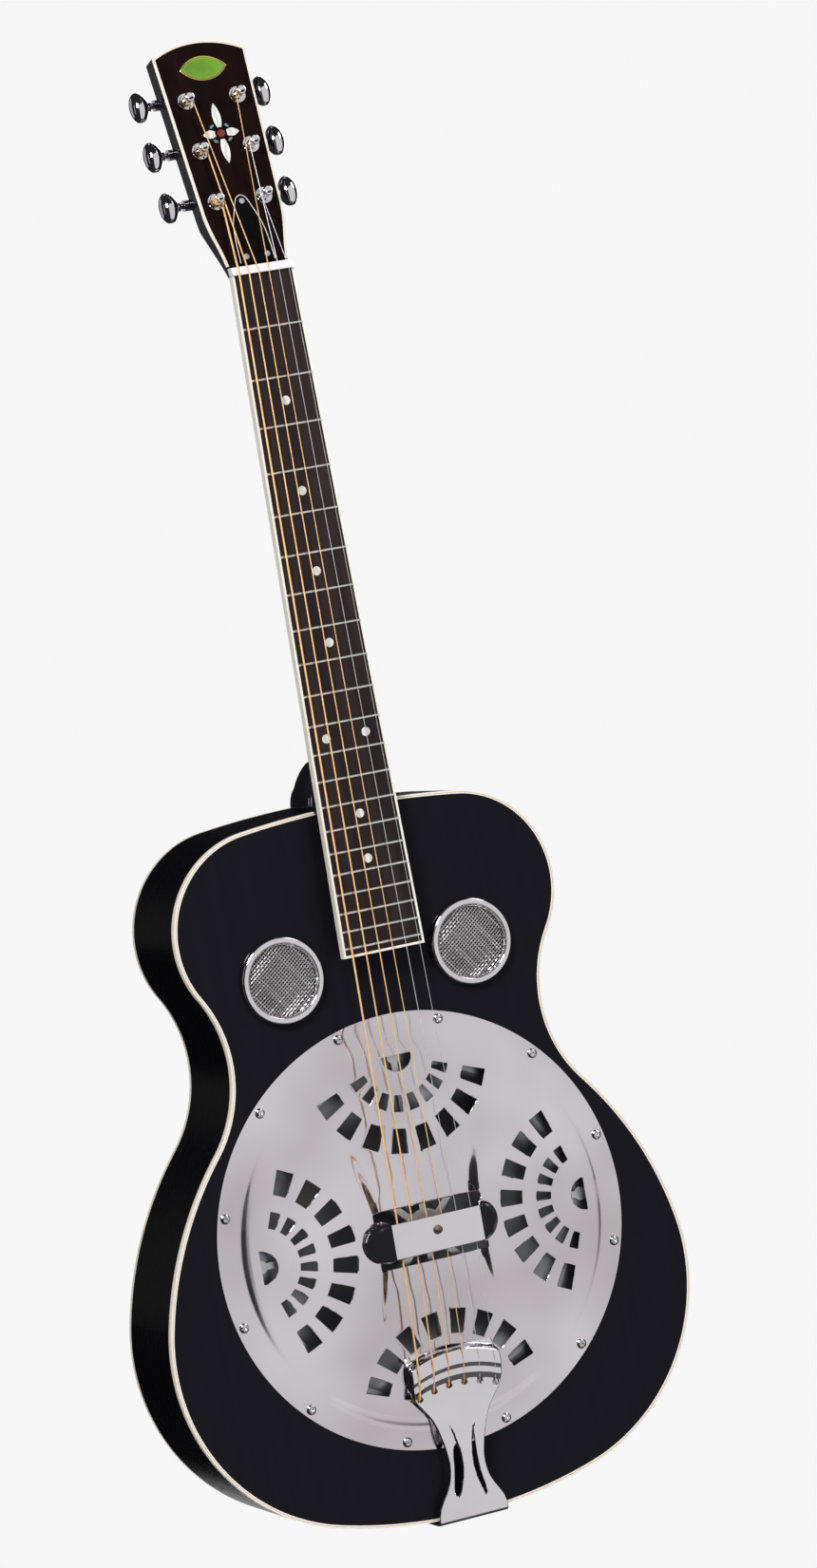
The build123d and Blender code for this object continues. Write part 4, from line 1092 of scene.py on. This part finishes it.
# Outline of a tuner button: distance from its post, half size along the headstock, half size across it.
BUTTON_OVALS = [
    (17.5, 2.6, 2.4), (18.1, 3.5, 3.1), (18.9, 3.7, 3.3), (19.7, 4.4, 3.8), (20.8, 6.6, 4.8),
    (22.5, 9.0, 5.9), (24.2, 10.2, 6.5), (26.0, 10.5, 6.6), (27.8, 10.1, 6.3), (29.3, 8.8, 5.5),
    (30.5, 6.8, 4.3), (31.3, 4.2, 2.7), (31.6, 1.6, 1.1),
]


def head_outline(inset):
    """Outline of the headstock as (x, s) points, the same number for every inset."""
    flare = []
    for t in np.linspace(0, 1, 25):
        weights = [(1 - t) ** 3, 3 * t * (1 - t) ** 2, 3 * t * t * (1 - t), t ** 3]
        flare.append(tuple(sum(w * p[i] for w, p in zip(weights, HEAD_FLARE)) for i in (0, 1)))
    right = [(x - inset, s) for x, s in flare]
    (low_x, low_s), (high_x, high_s) = HEAD_FLARE[-1], HEAD_CORNER
    right += [(low_x + (high_x - low_x) * t - inset, low_s + (high_s - low_s - inset) * t)
              for t in np.linspace(0, 1, 15)[1:]]
    corner_x, corner_s, top_s = right[-1][0], right[-1][1], HEAD_TOP - inset
    rise = top_s - corner_s
    radius = (corner_x ** 2 + rise ** 2) / (2 * rise)
    half_turn = degrees(np.arcsin(corner_x / radius))
    top = arc_points(0, top_s - radius, radius, 90 - half_turn, 90, 13)
    return right + top[1:]


def make_head_binding():
    """Ivory strip with an amber line round the face of the headstock, from nut to nut."""
    profile = [
        (0.0, -VENEER), (0.0, -0.25), (0.25, 0.0), (0.75, 0.0), (1.0, 0.0), (HEAD_BINDING, 0.0),
        (HEAD_BINDING, -VENEER),
    ]
    stripes = [0, 0, 0, 1, 0, 0, 0]
    verts = []
    for inset, n in profile:
        right = [(x, s) for x, s in head_outline(inset) if s > NUT_SIDE]
        loop = right + [(-x, s) for x, s in reversed(right[:-1])]
        verts += [head(x, s, n) for x, s in loop]
    columns = len(verts) // len(profile)
    faces = grid_faces(len(profile), columns, True, False)
    slots = [stripes[i // (columns - 1)] for i in range(len(faces))]
    for column in (0, columns - 1):
        faces.append(tuple(i * columns + column for i in range(len(profile))))
        slots.append(0)
    add_piece("headstock_binding_strip", verts, faces, ["ivory", "amber_line"],
              replaces=("headstock_binding",), sharp=50, face_slots=slots)


def pointed_oval(half_x, half_y, count=48):
    """A loop between two arcs that meet in points at the left and right."""
    radius = (half_x ** 2 + half_y ** 2) / (2 * half_y)
    reach = degrees(np.arcsin(half_x / radius))
    upper = arc_points(0, half_y - radius, radius, 90 - reach, 90 + reach, count // 2 + 1)
    return upper + [(-x, -y) for x, y in upper[1:-1]]


def make_badge():
    """Green enamelled lozenge with a raised gilt rim and a thin gilt line inside it."""
    rings = [
        (17.0, 8.8, -0.7), (17.0, 8.8, 0.2), (16.8, 8.65, 0.45), (16.4, 8.35, 0.5), (16.0, 8.05, 0.42),
        (15.9, 7.95, 0.3), (14.5, 7.0, 0.3), (14.45, 6.95, 0.36), (14.1, 6.7, 0.36), (14.05, 6.65, 0.3),
        (7.0, 3.3, 0.42), (0.6, 0.3, 0.45),
    ]
    green_bands = (5, 9, 10)
    verts = []
    for half_x, half_y, n in rings:
        verts += [head(x, BADGE_S + y, n) for x, y in pointed_oval(half_x, half_y)]
    count = len(verts) // len(rings)
    faces = grid_faces(len(rings), count, False, True)
    slots = [1 if i // count in green_bands else 0 for i in range(len(faces))]
    faces += end_caps(count, len(verts))
    slots += [0, 1]
    add_piece("badge_lozenge", verts, faces, ["gilt", "green_enamel"], replaces=("head_badge",),
              sharp=50, face_slots=slots)


def make_flower_centre():
    """Red-brown disc in a dark ring, and four small blue-green chips between the petals."""
    build = Build()
    place = placer(head, 0.0, FLOWER_S)
    build.add(*lathe([(0.001, -0.5), (4.3, -0.5), (4.3, 0.02), (2.75, 0.03)], place, 40), slot=0)
    stone = [(2.75, -0.4), (2.75, 0.03), (2.6, 0.09), (1.3, 0.12), (0.001, 0.13)]
    build.add(*lathe(stone, place, 40), slot=1)
    for x, y in [(5.3, 5.0), (-5.3, 5.2), (5.2, -4.9), (-5.1, -5.1)]:
        def chip(a, b, n, x=x, y=y):
            lean = 1 if x * y > 0 else -1
            return head(x + a * 1.1 - b * 0.3 * lean, FLOWER_S + y + b * 0.9 - a * 0.3 * lean, n)

        build.add(*lathe([(0.001, -0.4), (1.5, -0.4), (1.5, 0.04), (0.001, 0.05)], chip, 5), slot=2)
    add_piece("flower_centre", build.verts, build.faces, ["black_plastic", "red_stone", "abalone"],
              sharp=30, face_slots=build.slots)


def make_truss_edge():
    """Thin white edge round the truss-rod cover."""
    right = smooth_chain([(x - 0.3, s) for x, s in TRUSS_COVER[:-1]] + [TRUSS_COVER[-1]], 6)
    loop = right + [(-x, s) for x, s in reversed(right[:-1])]
    points = [head(x, s, 1.75) for x, s in loop]
    verts, faces = tube(points, 0.27 * MM, 8)
    add_piece("truss_cover_edge", verts, faces, "ivory")


def smooth_chain(points, steps):
    """Catmull-Rom curve through a list of tuples."""
    rows = [np.array(p, float) for p in points]
    rows = [2 * rows[0] - rows[1]] + rows + [2 * rows[-1] - rows[-2]]
    out = []
    for a, b, c, d in zip(rows, rows[1:], rows[2:], rows[3:]):
        for t in np.arange(steps) / steps:
            square, cube = 2 * a - 5 * b + 4 * c - d, 3 * b - a - 3 * c + d
            out.append(0.5 * (2 * b + (c - a) * t + square * t ** 2 + cube * t ** 3))
    return [tuple(p) for p in out] + [tuple(points[-1])]


def make_post(k, x, s):
    """Turned post with its hidden worm wheel, and the string's turns that move with it."""
    side = 1 if x > 0 else -1
    build = Build()
    place = placer(head, x, s)
    build.add(*lathe(POST_PROFILE, place, 40))
    teeth = []
    for n in range(WHEEL_TEETH):
        for part, radius in WHEEL_TOOTH:
            turn = 2 * pi * (n + part - 0.5) / WHEEL_TEETH
            teeth.append((radius * cos(turn), radius * sin(turn)))
    count = len(teeth)
    low, high = KEY_DEPTH - WHEEL_HALF, KEY_DEPTH + WHEEL_HALF
    verts = [place(a, b, n) for n in (low, high) for a, b in teeth]
    faces = [tuple(reversed(range(count))), tuple(range(count, 2 * count))]
    faces += [(i, (i + 1) % count, count + (i + 1) % count, count + i) for i in range(count)]
    build.add(verts, faces)
    add_piece(f"post_turned_{k + 1}", build.verts, build.faces, "chrome", body=f"post_{k + 1}",
              replaces=(f"string_post_{k + 1}",), sharp=35)

    d = STRING_DIAMETERS[k]
    wrap = POST_WAIST_R + d / 2
    start = pi if side > 0 else 0.0
    total = 2 * pi * (WINDING_TURNS[k] - 1)
    points = []
    for t in np.linspace(0, total, 24 * (WINDING_TURNS[k] - 1) + 1):
        angle = start - side * t
        points.append(place(wrap * cos(angle), wrap * sin(angle), WINDING_LOW[k] + d / 2 + d * t / (2 * pi)))
    top = WINDING_LOW[k] + d / 2 + d * total / (2 * pi)
    for t in np.linspace(0, pi / 2, 9)[1:]:
        angle = start - side * (total + t)
        rise = smooth_step(t / (pi / 2))
        points.append(place(wrap * cos(angle), wrap * sin(angle), top + (max(POST_HOLE_N, top) - top) * rise))
    last = max(POST_HOLE_N, top)
    points += [place(0, side_s, last) for side_s in (1.6, -1.6, -POST_WAIST_R - 1.6)]
    verts, faces = tube(points, d / 2 * MM, 8)
    metal, slot = ("bronze", "bronze_string") if k < 4 else ("plain_string", "plain_string")
    add_piece(f"string_turns_{k + 1}", verts, faces, metal, body=f"post_{k + 1}")


def make_button(k, x, s):
    """Cast oval button with a turned collar, on the worm's axis."""
    side = 1 if x > 0 else -1
    rows = smooth_chain(BUTTON_OVALS, 3)
    columns = 40
    verts = []
    for along, half_s, half_n in rows:
        verts += [head(x + side * along, s + KEY_OFFSET + half_s * c, KEY_DEPTH + half_n * d)
                  for c, d in circle(columns)]
    faces = grid_faces(len(rows), columns, False, True) + end_caps(columns, len(verts))
    faces = [f[::side] for f in faces]
    add_piece(f"button_cast_{k + 1}", verts, faces, "chrome", body=f"key_{k + 1}",
              replaces=(f"tuner_button_{k + 1}",), sharp=60)


def make_headstock():
    make_head_binding()
    make_badge()
    make_flower_centre()
    make_truss_edge()
    for k, (x, s) in enumerate(POSTS):
        make_post(k, x, s)
        make_button(k, x, s)


# ---- carried CAD nodes
CAD_FINISHES = {
    "lacquer": ["top_plate", "fretboard_support"],
    "back_lacquer": ["back_plate"],
    "neck_lacquer": ["neck", "heel_cap"],
    "rim": ["side_bass", "side_treble"],
    "rosewood": ["fretboard"],
    "ivory": ["fretboard_binding"],
    "fret": ["frets"],
    "pearl": ["position_markers", "head_inlay"],
    "bone": ["nut"],
    "head_wood": ["headplate"],
    "spun": ["cone"],
    "cast": ["spider"],
    "maple": ["saddle", "well_posts"],
    "spruce": ["neck_block", "tail_block", "linings", "sound_well", "back_braces"],
    "steel": ["spider_screw", "truss_cover_screws"],
    "dark_steel": ["truss_rod"],
    "black_plastic": ["truss_rod_cover"],
    "chrome": ["tuner_housings", "tuner_bushings", "strap_button"] + [f"worm_shaft_{k}" for k in range(1, 7)],
}


def dress_cad_nodes():
    """Give every CAD node that stays its own finish."""
    for material, nodes in CAD_FINISHES.items():
        for node in nodes:
            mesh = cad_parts[node].data
            mesh.materials.clear()
            mesh.materials.append(MATERIALS[material])
            mesh.polygons.foreach_set("material_index", [0] * len(mesh.polygons))


make_camera()
make_materials()
make_studio()
make_floor(floor_material())
dress_cad_nodes()
make_cover()
make_cover_screws()
make_palm_rest()
make_tailpiece()
make_strings()
make_screens()
make_bindings()
make_headstock()
